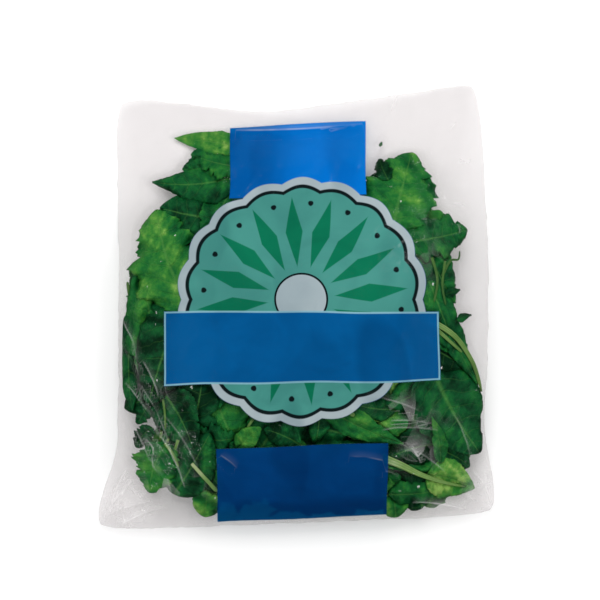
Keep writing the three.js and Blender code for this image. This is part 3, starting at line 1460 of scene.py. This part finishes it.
PLACED_LEAVES = (
    Leaf(LeafKind.FRILLY, (55, 76), (50, 89), 10, 0.15, 1.0),
    Leaf(LeafKind.FRILLY, (50.2, 97.2), (51.6, 99.4), 1.8, 0.3, 1.0),
    Leaf(LeafKind.LOBED, (57, 45), (70, 93), 42, 0.63, 1.5),
    Leaf(LeafKind.LOBED, (62, 38), (102, 46), 30, 0.45, 2.5),
    Leaf(LeafKind.POINTED, (88, 7), (97, 10), 6, 0.3, 2),
    Leaf(LeafKind.POINTED, (95, -8), (104, -5), 5, 0.3, 2),
    Leaf(LeafKind.POINTED, (78, 15), (108, -46), 18, 0.45, 1.5),
    Leaf(LeafKind.POINTED, (76, 36), (94, 2), 26, 0.45, 3.5),
    Leaf(LeafKind.OVAL, (81, -15), (90, -27), 8, 0.75, 1.5),
    Leaf(LeafKind.OVAL, (68, -12), (103, -36), 26, 0.12, 6),
    Leaf(LeafKind.POINTED, (86, -93), (80, -65), 9, 0.6, 1.2),
    Leaf(LeafKind.OVAL, (79, -34), (110, -88), 48, 0.34, 1.5),
    Leaf(LeafKind.OVAL, (87, -41), (53, -58), 24, 0.3, 4),
    Leaf(LeafKind.FOLDED, (78, -100), (107, -109), 25, 0.9, 1.2),
    Leaf(LeafKind.POINTED, (15, -58), (63, -81), 18, 0.65, 1.5),
    Leaf(LeafKind.OVAL, (87, -81), (53, -90), 24, 0.12, 6),
    Leaf(LeafKind.POINTED, (50, -90), (90, -100), 14, 0.55, 2.5),
    Leaf(LeafKind.POINTED, (55, -112), (92, -108), 15, 0.5, 4),
    Leaf(LeafKind.OVAL, (80, -84), (104, -96), 20, 0.2, 5),
    Leaf(LeafKind.POINTED, (60, -127), (55, -102), 16, 0.75, 2),
    Leaf(LeafKind.OVAL, (-35, -84), (-21, -71), 13, 0.65, 2),
    Leaf(LeafKind.OVAL, (2, -81), (-19, -72), 18, 0.3, 3),
    Leaf(LeafKind.FOLDED, (-30, 97), (-74, 102), 15, 0.76, 1),
    Leaf(LeafKind.FRILLY, (-31, 84), (-64, 92), 18, 0.55, 2),
    Leaf(LeafKind.POINTED, (-32, 80), (-87, 75), 25, 0.4, 1.5),
    Leaf(LeafKind.OVAL, (-44, 88), (-69, 83), 20, 0.4, 3),
    Leaf(LeafKind.OVAL, (-37, 78), (-56, 45), 27, 0.5, 3),
    Leaf(LeafKind.LOBED, (-62, -2), (-84, 58), 46, 0.76, 1.2),
    Leaf(LeafKind.OVAL, (-40, 51), (-82, 59), 36, 0.25, 2.5),
    Leaf(LeafKind.OVAL, (-61, 10), (-88, -59), 42, 0.2, 1.6),
    Leaf(LeafKind.OVAL, (-81, -48), (-93, 27), 36, 0.58, 1.8),
    Leaf(LeafKind.OVAL, (-98, -2), (-98, -62), 17, 0.28, 2),
    Leaf(LeafKind.OVAL, (-82, -47), (-61, -84), 28, 0.2, 2.5),
    Leaf(LeafKind.FRILLY, (-86, -53), (-95, -70), 12, 0.3, 2),
    Leaf(LeafKind.OVAL, (-82, -50), (-103, -61), 20, 0.25, 3.5),
    Leaf(LeafKind.FRILLY, (-77, -81), (-88, -111), 26, 0.66, 0.8),
    Leaf(LeafKind.OVAL, (-73, -112), (-51, -75), 28, 0.3, 3),
    Leaf(LeafKind.OVAL, (-64, -81), (-43, -111), 24, 0.45, 3.5),
    Leaf(LeafKind.POINTED, (-55, -126), (-51, -99), 17, 0.78, 1.5),
    Leaf(LeafKind.FRILLY, (-86, -72), (-96, -84), 11, 0.25, 3),
)

HEAP_OUTLINE = np.array(
    [
        (-74, 103), (-70, 95), (-63, 92), (-78, 83), (-87, 76), (-80, 70), (-71, 68), (-87, 58), (-88, 50),
        (-92, 42), (-91, 36), (-96, 31), (-94, 27), (-102, 21), (-102, 8), (-105, -8), (-106, -45),
        (-104, -59), (-97, -66), (-99, -82), (-94, -88), (-95, -106), (-80, -109), (-69, -113),
        (-61, -121), (-54, -126),
        (2, -127), (62, -124), (91, -120), (106, -106), (101, -95), (109, -85), (112, -66), (113, -50),
        (110, -37), (103, -20), (98, 2), (92, 18), (93, 35), (100, 41), (100, 53), (89, 57), (86, 62),
        (84, 80), (78, 90), (66, 93), (56, 86), (44, 86), (40, 94), (2, 105), (-37, 103),
    ],
    float,
)


class Template:
    """A shape of triangles that is copied many times, as arrays."""

    def __init__(self, bm: bmesh.types.BMesh) -> None:
        """Takes over a modelled shape and frees it.

        Args:
            bm: the shape, all of triangles.
        """
        bm.verts.ensure_lookup_table()
        self.corners = np.array([vert.co for vert in bm.verts])
        self.faces = np.array([[vert.index for vert in face.verts] for face in bm.faces])
        bm.free()


class JoinedMesh:
    """Many copies of template shapes, each with its own form, joined into one mesh."""

    def __init__(self) -> None:
        """Starts empty."""
        self.count = 0
        self.places: list[np.ndarray] = []
        self.faces: list[np.ndarray] = []
        self.uv: list[np.ndarray] = []
        self.tones: list[np.ndarray] = []

    def add(self, template: Template, places: np.ndarray, uv: np.ndarray, tone: np.ndarray | float) -> None:
        """Adds one copy.

        Args:
            template: the shape.
            places: where its vertices go, in millimetres.
            uv: their places on the UV map.
            tone: the copy's tone, or one for each vertex.
        """
        self.places.append(places)
        self.faces.append(template.faces + self.count)
        self.uv.append(uv)
        self.tones.append(np.broadcast_to(tone, len(places)))
        self.count += len(places)

    def mesh(self, uv_name: str) -> bpy.types.Mesh:
        """Joins the copies into one mesh, in metres.

        Args:
            uv_name: the name of its UV map.

        Returns:
            The mesh, with the number tone at each vertex.
        """
        faces = np.concatenate(self.faces)
        mesh = bpy.data.meshes.new(uv_name)
        mesh.vertices.add(self.count)
        mesh.loops.add(faces.size)
        mesh.polygons.add(len(faces))
        mesh.vertices.foreach_set("co", (np.concatenate(self.places) * MM).ravel())
        mesh.loops.foreach_set("vertex_index", faces.ravel())
        mesh.polygons.foreach_set("loop_start", np.arange(0, faces.size, 3))
        mesh.update(calc_edges=True)
        add_uv(mesh, uv_name, np.concatenate(self.uv))
        add_numbers(mesh, "tone", np.concatenate(self.tones))
        return mesh


class BladeTemplate(Template):
    """A flat leaf: a grid of triangles made a thin solid, whose two faces are split alike."""

    THICKNESS = 0.1
    END_CROWDING = 0.55

    def __init__(self, across: int, along: int) -> None:
        """Models the grid.

        Args:
            across: its steps from margin to margin.
            along: its steps from base to tip.
        """
        bm = bmesh.new()
        bmesh.ops.create_grid(bm, x_segments=across, y_segments=along, size=1.0)
        bmesh.ops.triangulate(bm, faces=bm.faces, quad_method="FIXED")
        bmesh.ops.solidify(bm, geom=bm.faces, thickness=self.THICKNESS)
        bmesh.ops.triangulate(bm, faces=bm.faces)
        bmesh.ops.recalc_face_normals(bm, faces=bm.faces)
        super().__init__(bm)
        even = np.linspace(0, 1, along + 1)
        crowded = (1 - np.cos(np.pi * even)) / 2
        self.along = (1 - self.END_CROWDING) * even + self.END_CROWDING * crowded
        self.across = np.linspace(-1, 1, across + 1)
        self.column = np.rint((self.corners[:, 0] + 1) / 2 * across).astype(int)
        self.row = np.rint((self.corners[:, 1] + 1) / 2 * along).astype(int)
        self.upper = self.corners[:, 2] >= self.corners[:, 2].mean()


@dataclass(frozen=True)
class Stalk:
    """One bare stalk: the places that it runs through in plan, its radii, its tone and how deep it lies."""

    route: tuple[Place, ...]
    start_radius: float
    end_radius: float
    tone: float
    depth: float = 0.6


PLACED_STALKS = (
    Stalk(((69, 1), (79, -8), (89, -14), (96, -20), (103, -30), (107, -38), (111, -51)), 1.6, 0.8, 0.7),
    Stalk(((73, -6), (82, -13), (90, -20), (98, -27)), 1.1, 0.6, 0.75),
    Stalk(((50, -89), (62, -94), (74, -100), (88, -105), (101, -108)), 2.1, 0.4, 0.75),
    Stalk(((80, 29), (83, 16), (81, 3)), 0.7, 0.5, 0.25, 1.5),
    Stalk(((88, 27), (86, 13), (88, 1)), 0.6, 0.5, 0.2, 1.5),
    Stalk(((86, 18), (91, 27), (96, 28), (97, 33)), 0.7, 0.35, 0.15),
    Stalk(((-78, -81), (-73, -88), (-70, -95)), 0.8, 0.5, 0.6),
    Stalk(((-70, -79), (-72, -85)), 0.8, 0.6, 0.6),
    Stalk(((-62, -93), (-55, -101), (-47, -110)), 0.8, 1.0, 0.85),
    Stalk(((18, -58), (26, -59), (34, -64)), 1.4, 1.0, 0.85),
)


@dataclass
class Stalks:
    """The stalks in the bag: bare ones that show, and those of the leaves."""

    space: BagSpace
    sides: int = 12
    rings: int = 24
    breadth: float = 1.25
    flatness: float = 0.6
    channel: float = 0.9
    channel_width: float = 0.5
    tip_from: float = 0.9
    tip_taper: float = 0.5
    bend_rounds: int = 4

    def __post_init__(self) -> None:
        """Models the straight stalk that is bent for each, and lays the bare ones."""
        self.joined, self.rod = JoinedMesh(), Template(self.straight())
        for stalk in PLACED_STALKS:
            self.lay(stalk)

    def straight(self) -> bmesh.types.BMesh:
        """Models a straight stalk.

        Returns:
            A capped cylinder cut into rings.
        """
        bm = bmesh.new()
        round_end = {"radius1": 1.0, "radius2": 1.0, "depth": 2.0, "segments": self.sides}
        bmesh.ops.create_cone(bm, cap_ends=True, cap_tris=True, **round_end)
        lengthwise = [edge for edge in bm.edges if abs(edge.verts[0].co.z - edge.verts[1].co.z) > 1]
        bmesh.ops.subdivide_edges(bm, edges=lengthwise, cuts=self.rings - 1)
        bmesh.ops.triangulate(bm, faces=bm.faces)
        return bm

    def build(self, material: bpy.types.Material) -> bpy.types.Object:
        """Joins the stalks into one piece with their finish."""
        return make_piece("stalks", self.joined.mesh("stalk"), material)

    def lay(self, stalk: Stalk) -> None:
        """Bends one stalk along its route, presses it into the heap and adds it.

        Args:
            stalk: the stalk.
        """
        corners = self.rod.corners
        plan = self.space.keep_in(curve_through(stalk.route, self.rings + 1))
        along = np.linspace(0, 1, self.rings + 1)
        radius = stalk.start_radius + (stalk.end_radius - stalk.start_radius) * along
        radius *= 1 - self.tip_taper * smooth_step(self.tip_from, 1.0, along)
        run = np.gradient(plan, axis=0)
        aside = np.column_stack((run[:, 1], -run[:, 0])) / np.linalg.norm(run, axis=1, keepdims=True)
        strip = plan[:, None] + aside[:, None] * (radius[:, None] * np.array((-1, 0, 1)))[..., None]
        rise = np.repeat((-stalk.depth - radius)[:, None], 3, axis=1)
        pressed = self.space.press(Side.FRONT, strip, rise, float(radius.max()), self.bend_rounds)
        path = np.column_stack((plan, pressed[:, 1]))
        ring = np.rint((corners[:, 2] + 1) / 2 * self.rings).astype(int)
        sideways = np.column_stack((aside, np.zeros(len(aside))))
        upward = np.cross(sideways, np.gradient(path, axis=0))
        upward /= np.linalg.norm(upward, axis=1, keepdims=True)
        across, up = corners[:, :1], corners[:, 1:2]
        up = up - self.channel * np.exp(-((across / self.channel_width) ** 2)) * np.maximum(up, 0)
        offset = sideways[ring] * across * self.breadth + upward[ring] * up * self.flatness
        turn = np.arctan2(corners[:, 1], corners[:, 0]) / math.tau + 0.5
        uv = np.column_stack((turn, along[ring]))
        self.joined.add(self.rod, path[ring] + offset * radius[ring, None], uv, stalk.tone)


@dataclass
class Blade:
    """The blade of one leaf: a template shaped by random numbers that it draws in order.

    Ranges are the least and the most of what is drawn. Tears, sways, curls and blisters are shares of the
    blade's length or width; tilts, bends, crumples, ribs and grooves are millimetres.
    """

    leaf: Leaf
    grid: BladeTemplate
    rng: np.random.Generator
    thick: float = 0.45
    narrowest: float = 0.9
    rib: float = 0.9
    rib_width: float = 1.3
    rib_taper: float = 0.8
    swells: Range = (0.88, 1.06)
    lobe_turns: Range = (2.0, 3.4)
    bites: int = 15
    bite: float = 0.8
    tooth: float = 0.6
    tear_places: Range = (0.25, 0.92)
    tear_widths: Range = (0.012, 0.03)
    tear_depths: Range = (0.1, 0.38)
    most_ragged: Range = (-0.42, 0.3)
    sways: Range = (-0.08, 0.08)
    tilts: Range = (-1.5, 3.0)
    crumple: float = 1.3
    # How much the crumples paint the tone lighter on crests and darker in hollows, as painted light and
    # shade.
    crumple_sizes: Range = (6.0, 26.0)
    crumple_count: int = 7
    crumple_shade: float = 0.14
    folds: Range = (-1.0, 0.6)
    ruffles: Range = (0.6, 1.4)
    ruffle_edge: float = 2.2
    wave_changes: Range = (0.8, 1.2)
    curls: Range = (-0.16, 0.05)
    curl_from: float = 0.55
    blister: float = 0.03
    blister_most: float = 1.1
    blister_edge: float = 1.5
    groove: float = 0.8
    groove_width: float = 1.2
    bends: Range = (-2.0, 2.0)
    bend_turns: Range = (0.5, 0.9)

    def __post_init__(self) -> None:
        """Draws the blade's plan, its rise from the film and its tone at each place, painted lighter on its
        crumples' crests and darker in their hollows as painted light and shade.
        """
        leaf, along = self.leaf, self.grid.along[:, None]
        base, tip = np.array(leaf.base), np.array(leaf.tip)
        length = float(np.linalg.norm(tip - base))
        forward = (tip - base) / length
        self.out = self.spread()
        sway = self.rng.uniform(*self.sways) * length * np.sin(np.pi * along)
        sideways = -left_of(forward) * (self.out + sway)[..., None]
        self.plan = base + forward * (length * along)[..., None] + sideways
        crumple = self.crumples(length * along)
        rise = self.relief(along) + self.crumple * crumple
        tilt = self.rng.uniform(*self.tilts) * (along - 0.5)
        self.rise = rise - leaf.depth - tilt
        # Painted light and shade: the tone rises on the crumples' crests and falls in their hollows.
        self.tone = leaf.tone + self.crumple_shade * crumple

    def margin(self) -> tuple[np.ndarray, np.ndarray]:
        """Draws one margin of the blade.

        Returns:
            Its half widths as shares of the widest: without its teeth and tears, and with them.
        """
        habit, along = self.leaf.kind.value, self.grid.along
        swell, turns, start = draw(self.rng, self.swells, self.lobe_turns, FULL_TURN)
        full = np.sin(np.pi * along ** habit.widest) ** habit.fullness * swell
        smooth = full * (1 + habit.lobes * np.sin(math.tau * turns * along + start))
        bites = np.interp(along, np.linspace(0, 1, self.bites), self.rng.normal(size=self.bites))
        ragged = habit.teeth * (self.bite * bites + self.tooth * self.rng.normal(size=len(along)))
        for _ in range(habit.tears):
            at, wide, deep = draw(self.rng, self.tear_places, self.tear_widths, self.tear_depths)
            ragged -= deep * np.exp(-(((along - at) / wide) ** 2))
        return smooth, smooth * (1 + np.clip(ragged, *self.most_ragged))

    def spread(self) -> np.ndarray:
        """Spreads the template out to two margins.

        Returns:
            The distance of each place from the midrib, below 0 on the left.
        """
        across = self.grid.across
        smooth, ragged = (
            np.where(across < 0, left[:, None], right[:, None]).clip(self.narrowest / self.leaf.width)
            for left, right in zip(self.margin(), self.margin())
        )
        return (across * smooth + across * np.abs(across) * (ragged - smooth)) * self.leaf.width / 2

    def crumples(self, along: np.ndarray) -> np.ndarray:
        """Draws the crumples of the blade: ripples of several sizes that cross at random.

        Args:
            along: distances from the base, as a column.

        Returns:
            Their height at each place, about -1 to 1.
        """
        total = np.zeros_like(along + self.out)
        for size in np.geomspace(*self.crumple_sizes, self.crumple_count):
            turn, start = draw(self.rng, FULL_TURN, FULL_TURN)
            x, y = heading(turn)
            wave = np.sin(math.tau / size * (x * along + y * self.out) + start)
            total += (0.5 * wave + 0.5 - np.abs(wave)) * size / self.crumple_sizes[1]
        return total

    def relief(self, along: np.ndarray) -> np.ndarray:
        """Draws how the blade rises and falls: its fold, its ruffled margins, its blisters and its rib.

        Args:
            along: shares of the way from base to tip, as a column.

        Returns:
            The rise at each place.
        """
        habit, width = self.leaf.kind.value, self.leaf.width
        across, off = self.grid.across, np.abs(self.grid.across)
        rise = habit.fold * self.rng.uniform(*self.folds) * np.abs(self.out)
        edge = np.clip((off - self.curl_from) / (1 - self.curl_from), 0, 1) ** 2
        for half in (across < 0, across >= 0):
            start, ruffle, change, curl = draw(
                self.rng, FULL_TURN, self.ruffles, self.wave_changes, self.curls
            )
            wave = np.sin(math.tau * habit.waves * change * along + start)
            ruffled = habit.ruffle * width / 2 * ruffle * off ** self.ruffle_edge * wave
            rise = rise + half * (ruffled + curl * width * edge)
        swept = SIDE_VEINS * along - VEIN_SWEEP * off
        blister = np.abs(np.sin(np.pi * swept)) * np.sin(np.pi * off) ** self.blister_edge
        rise = rise + min(self.blister * width, self.blister_most) * blister
        groove = -self.groove * np.exp(-((self.out / self.groove_width) ** 2)) * (1 - along)
        bend, turns, start = draw(self.rng, self.bends, self.bend_turns, (0.0, 1.0))
        return rise + groove + bend * np.sin(math.tau * (along * turns + start))

    def join(self, joined: JoinedMesh, sheet: np.ndarray) -> None:
        """Gives the blade its thickness and its rib, and adds it to a joined mesh.

        Args:
            joined: the mesh that it goes into.
            sheet: the blade's middle surface, as rows and columns.
        """
        grid, width = self.grid, self.leaf.width
        along = grid.along[:, None]
        normal = np.cross(np.gradient(sheet, axis=1), np.gradient(sheet, axis=0))
        normal /= np.linalg.norm(normal, axis=-1, keepdims=True) + TINY
        off = np.abs(grid.across) * width / 2
        ribbed = self.rib * np.exp(-((off / self.rib_width) ** 2)) * (1 - self.rib_taper * along)
        at = (grid.row, grid.column)
        offset = np.where(grid.upper, self.thick / 2, -self.thick / 2 - ribbed[at])
        uv = np.stack(np.broadcast_arrays(0.5 + self.out / width, along), axis=-1)
        joined.add(grid, sheet[at] + normal[at] * offset[:, None], uv[at], self.tone[at])


@dataclass
class LeafHeap:
    """All leaves in the bag: those listed at the front, scraps, then more that fill the heap.

    Ranges are the least and the most of what is drawn; widths are shares of a leaf's length.
    """

    space: BagSpace
    stalks: Stalks
    seed: int = 11
    fine: tuple[int, int] = (20, 60)
    coarse: tuple[int, int] = (12, 34)
    bend_rounds: int = 8
    fillers: dict[Side, int] = field(default_factory=lambda: {Side.FRONT: 80, Side.BACK: 60})
    tries: int = 14
    lengths: Range = (32.0, 72.0)
    widths: Range = (0.5, 0.72)
    tones: Range = (0.1, 0.75)
    depths: Range = (1.5, 6.0)
    heart: float = 0.6
    rim_places: int = 12
    scraps: int = 34
    scrap_insets: Range = (0.68, 0.94)
    scrap_lengths: Range = (9.0, 24.0)
    scrap_widths: Range = (0.5, 0.9)
    scrap_tones: Range = (0.1, 0.8)
    scrap_depths: Range = (0.6, 3.0)
    stalked: float = 0.6
    stalked_width: float = 14.0
    stalk_lengths: Range = (8.0, 26.0)
    stalk_bows: Range = (-0.25, 0.25)
    stalk_radii: Range = (0.55, 0.95)
    stalk_tones: Range = (0.35, 0.8)
    stalk_taper: float = 0.8
    stalk_overlap: float = 3.0

    def build(self, material: bpy.types.Material) -> list[bpy.types.Object]:
        """Lays all leaves and joins them, one piece for each kind.

        Args:
            material: their finish.

        Returns:
            The pieces.
        """
        rng = np.random.default_rng(self.seed)
        fine, coarse = BladeTemplate(*self.fine), BladeTemplate(*self.coarse)
        self.joined = {kind: JoinedMesh() for kind in LeafKind}
        for leaf in PLACED_LEAVES:
            # A leaf's own seed, its base in eighths of a millimetre, keeps its form when others change.
            own = np.random.default_rng((self.seed, *(int(abs(8 * part)) for part in leaf.base)))
            self.lay(leaf, fine, Side.FRONT, own)
            self.add_stalk(leaf, own)
        for _ in range(self.scraps):
            self.lay(self.scrap(rng), coarse, Side.FRONT, rng)
        for side, count in self.fillers.items():
            for _ in range(count):
                leaf = self.filler(side, rng)
                self.lay(leaf, coarse, side, rng)
                if side is Side.FRONT:
                    self.add_stalk(leaf, rng)
        return [
            make_piece(f"{kind.name.lower()}_leaves", leaves.mesh("blade"), material)
            for kind, leaves in self.joined.items()
        ]

    def lay(self, leaf: Leaf, grid: BladeTemplate, side: Side, rng: np.random.Generator) -> None:
        """Shapes one leaf, presses it into the heap and adds it.

        Args:
            leaf: the leaf.
            grid: the template to shape.
            side: the side that it lies against.
            rng: the source of random numbers.
        """
        blade = Blade(leaf, grid, rng)
        plan = self.space.keep_in(blade.plan)
        height = self.space.press(side, plan, blade.rise, blade.thick, self.bend_rounds)
        blade.join(self.joined[leaf.kind], np.concatenate((plan, height[..., None]), axis=-1))

    def add_stalk(self, leaf: Leaf, rng: np.random.Generator) -> None:
        """Gives a leaf the stalk that its blade grew on, where there is room for one.

        Args:
            leaf: the leaf.
            rng: the source of random numbers.
        """
        base, tip = np.array(leaf.base), np.array(leaf.tip)
        run = (base - tip) / np.linalg.norm(base - tip)
        sizes = self.stalk_lengths, self.stalk_bows, self.stalk_radii, self.stalk_tones
        length, bow, radius, tone, swing, luck = draw(rng, *sizes, (-1.0, 1.0), (0.0, 1.0))
        aside = left_of(run) * bow * length
        middle = base + run * length * 0.5 + aside * 0.5
        end = base + run * length + aside * swing
        inside = inside_outline(HEAP_OUTLINE, np.array((middle, end))).all()
        if inside and luck < self.stalked and leaf.width > self.stalked_width:
            route = (tuple(base - run * self.stalk_overlap), tuple(middle), tuple(end))
            self.stalks.lay(Stalk(route, radius, radius * self.stalk_taper, tone, leaf.depth))

    def scrap(self, rng: np.random.Generator) -> Leaf:
        """Draws a small torn leaf near the heap's outline.

        Args:
            rng: the source of random numbers.

        Returns:
            The leaf.
        """
        sizes = self.scrap_widths, self.scrap_tones, self.scrap_depths
        while True:
            corner = rng.integers(len(HEAP_OUTLINE))
            share, inset, length, turn, wide, tone, depth = draw(
                rng, (0.0, 1.0), self.scrap_insets, self.scrap_lengths, FULL_TURN, *sizes
            )
            start, end = HEAP_OUTLINE[corner - 1], HEAP_OUTLINE[corner]
            middle = (start + share * (end - start)) * inset
            half = heading(turn) * length / 2
            if inside_outline(HEAP_OUTLINE, self.rim(middle, half, wide * length)).all():
                ends = tuple(middle - half), tuple(middle + half)
                return Leaf(LeafKind.FRILLY, *ends, wide * length, tone, depth)

    def filler(self, side: Side, rng: np.random.Generator) -> Leaf:
        """Draws a leaf for the barest of several places in the heap.

        Args:
            side: the side that it lies against.
            rng: the source of random numbers.

        Returns:
            The leaf.
        """
        kinds = [kind for kind in LeafKind if kind is not LeafKind.FOLDED]
        low, high = HEAP_OUTLINE.min(axis=0), HEAP_OUTLINE.max(axis=0)
        best, least, found = None, math.inf, 0
        while found < self.tries:
            length, turn, *middle, width = draw(
                rng, self.lengths, FULL_TURN, *zip(low, high), self.widths
            )
            half, wide = heading(turn) * length / 2, length * width
            middle = np.array(middle)
            if not inside_outline(HEAP_OUTLINE, self.rim(middle, half, wide)).all():
                continue
            found += 1
            spots = self.rim(middle, half * self.heart, wide * self.heart)
            covered = self.space.read(self.space.cover[side], spots).mean()
            if covered < least:
                kind = kinds[rng.integers(len(kinds))]
                ends = tuple(middle - half), tuple(middle + half)
                best = Leaf(kind, *ends, wide, *draw(rng, self.tones, self.depths))
                least = covered
        return best

    def rim(self, middle: np.ndarray, half: np.ndarray, wide: float) -> np.ndarray:
        """Walks round a leaf's plan.

        Args:
            middle: the leaf's middle.
            half: half of the run from its base to its tip.
            wide: its width.

        Returns:
            Places on its outline, one row each.
        """
        turn = np.linspace(*FULL_TURN, self.rim_places, endpoint=False)[:, None]
        aside = left_of(half) / np.linalg.norm(half) * wide / 2
        return middle + np.cos(turn) * half + np.sin(turn) * aside


@dataclass
class HeapCore:
    """The mass of leaves deep in the bag, which shows only through gaps."""

    space: BagSpace
    depth: float = 9.0
    back_depth: float = 5.4
    least_thickness: float = 0.5
    margin: float = 0.86
    middle: Place = (2.0, -10.0)
    subdivisions: int = 5
    reaches: Range = (10.0, 160.0)
    reach_steps: int = 151
    flatness: float = 0.6
    lump: float = 2.5
    lump_size: float = 16.0
    ball_height: float = 40.0  # what the unit ball counts as where its lumps are read

    def build(self, material: bpy.types.Material) -> bpy.types.Object:
        """Models the core as one crumpled body inside the heap's outline.

        Args:
            material: its finish.

        Returns:
            The core.
        """
        bm = bmesh.new()
        bmesh.ops.create_icosphere(bm, subdivisions=self.subdivisions, radius=1.0)
        for vert in bm.verts:
            vert.co = self.place(vert.co) * MM
        bmesh.ops.recalc_face_normals(bm, faces=bm.faces)
        return make_piece("heap_core", mesh_from(bm, "heap_core"), material)

    def reach(self, way: np.ndarray) -> float:
        """Measures how far the heap's outline lies from its middle.

        Args:
            way: the direction to measure in.

        Returns:
            The distance.
        """
        distances = np.linspace(*self.reaches, self.reach_steps)
        spots = np.array(self.middle) + distances[:, None] * way
        return float(distances[inside_outline(HEAP_OUTLINE, spots)].max())

    def place(self, unit: Vector) -> Vector:
        """Moves a point of the unit ball into the heap, between the leaves of the front and the back.

        Args:
            unit: the point.

        Returns:
            Its place, in millimetres.
        """
        way = heading(math.atan2(unit.y, unit.x))
        out = math.hypot(unit.x, unit.y) * self.margin * self.reach(way)
        plan = np.array(self.middle) + out * way
        front, back = (float(self.space.read(self.space.film[side], plan)) for side in Side)
        middle = (front + back) / 2
        top = max(front - self.depth, middle)
        bottom = min(back + self.back_depth, middle - self.least_thickness)
        share = (math.copysign(abs(unit.z) ** self.flatness, unit.z) + 1) / 2
        lump = self.lump * noise.noise(Vector((*plan, self.ball_height * unit.z)) / self.lump_size)
        room = min((top - bottom) / self.depth, 1.0)
        return Vector((*plan, bottom + (top - bottom) * share + lump * abs(unit.z) * room))


@dataclass(frozen=True)
class Lamp:
    """A square soft lamp that points at the bag; its place and its side are metres, its power watts."""

    name: str
    place: tuple[float, float, float]
    side: float
    power: float
    shines: bool = False

    def hang(self) -> None:
        """Hangs the lamp, which shows in the gloss of the film only if it shines."""
        light = bpy.data.lights.new(self.name, "AREA")
        light.size = self.side
        light.energy = self.power
        lamp = bpy.data.objects.new(self.name, light)
        lamp.location = self.place
        lamp.rotation_euler = (-Vector(self.place)).to_track_quat("-Z", "Y").to_euler()
        lamp.visible_glossy = self.shines
        bpy.context.scene.collection.objects.link(lamp)


LAMPS = (
    Lamp("key", (-0.1, 0.8, 1.1), 0.8, 10.0),
    Lamp("left fill", (-0.95, -0.1, 0.85), 0.9, 4.2),
    Lamp("right fill", (0.95, -0.1, 0.85), 0.9, 6.8),
    Lamp("low glint", (-0.9, -0.8, 0.75), 0.12, 0.35, shines=True),
    Lamp("far glint", (0.35, 1.3, 0.8), 0.12, 0.3, shines=True),
)


@dataclass
class Studio:
    """The floor, the lamps and the camera that looks straight down on the bag; sizes are metres."""

    floor_size: float = 6.0
    floor_drop: float = 0.0002
    daylight: float = 0.34
    eye_height: float = 1.5
    frame_width: float = 0.3624
    frame_level: float = 0.008
    frame_middle: Place = (0.0021, 0.0039)

    def build(self, floor: bpy.types.Material) -> None:
        """Sets the studio up.

        Args:
            floor: the floor's finish.
        """
        scene = bpy.context.scene
        scene.view_settings.view_transform = "Standard"
        self.lay_floor(floor)
        for lamp in LAMPS:
            lamp.hang()
        scene.world = bpy.data.worlds.new("studio")
        scene.world.use_nodes = True
        background = scene.world.node_tree.nodes["Background"]
        background.inputs["Color"].default_value = (1.0, 1.0, 1.0, 1.0)
        background.inputs["Strength"].default_value = self.daylight
        scene.world.cycles_visibility.glossy = False
        scene.camera = self.camera()

    def lay_floor(self, material: bpy.types.Material) -> None:
        """Lays the floor just under the bag.

        Args:
            material: its finish.
        """
        bm = bmesh.new()
        bmesh.ops.create_grid(bm, x_segments=1, y_segments=1, size=self.floor_size / 2)
        mesh = mesh_from(bm, "floor")
        mesh.materials.append(material)
        floor = bpy.data.objects.new("floor", mesh)
        floor.location.z = -self.floor_drop
        bpy.context.scene.collection.objects.link(floor)
        floor.visible_glossy = False

    def camera(self) -> bpy.types.Object:
        """Hangs the camera over the bag, with the bag's top edge up in the picture.

        Returns:
            The camera.
        """
        data = bpy.data.cameras.new("camera")
        data.lens = data.sensor_width * (self.eye_height - self.frame_level) / self.frame_width
        camera = bpy.data.objects.new("camera", data)
        camera.location = (*self.frame_middle, self.eye_height)
        bpy.context.scene.collection.objects.link(camera)
        return camera


def main() -> None:
    """Builds the bag and its studio in order."""
    logging.basicConfig(level=logging.INFO, format="%(message)s")
    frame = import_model()
    solid = frame["nodes"][SOLID]
    space = BagSpace(solid)
    stalks = Stalks(space)
    LeafHeap(space, stalks).build(LeafFinish().material(LeafVeins().group()))
    stalks.build(StalkFinish().material())
    HeapCore(space).build(CoreFinish().material())
    Film(solid, space).build(FilmFinish().material(FilmHaze().group(), FrontPrint().group()))
    Studio().build(FloorFinish().material())


if __name__ == "__main__":
    main()
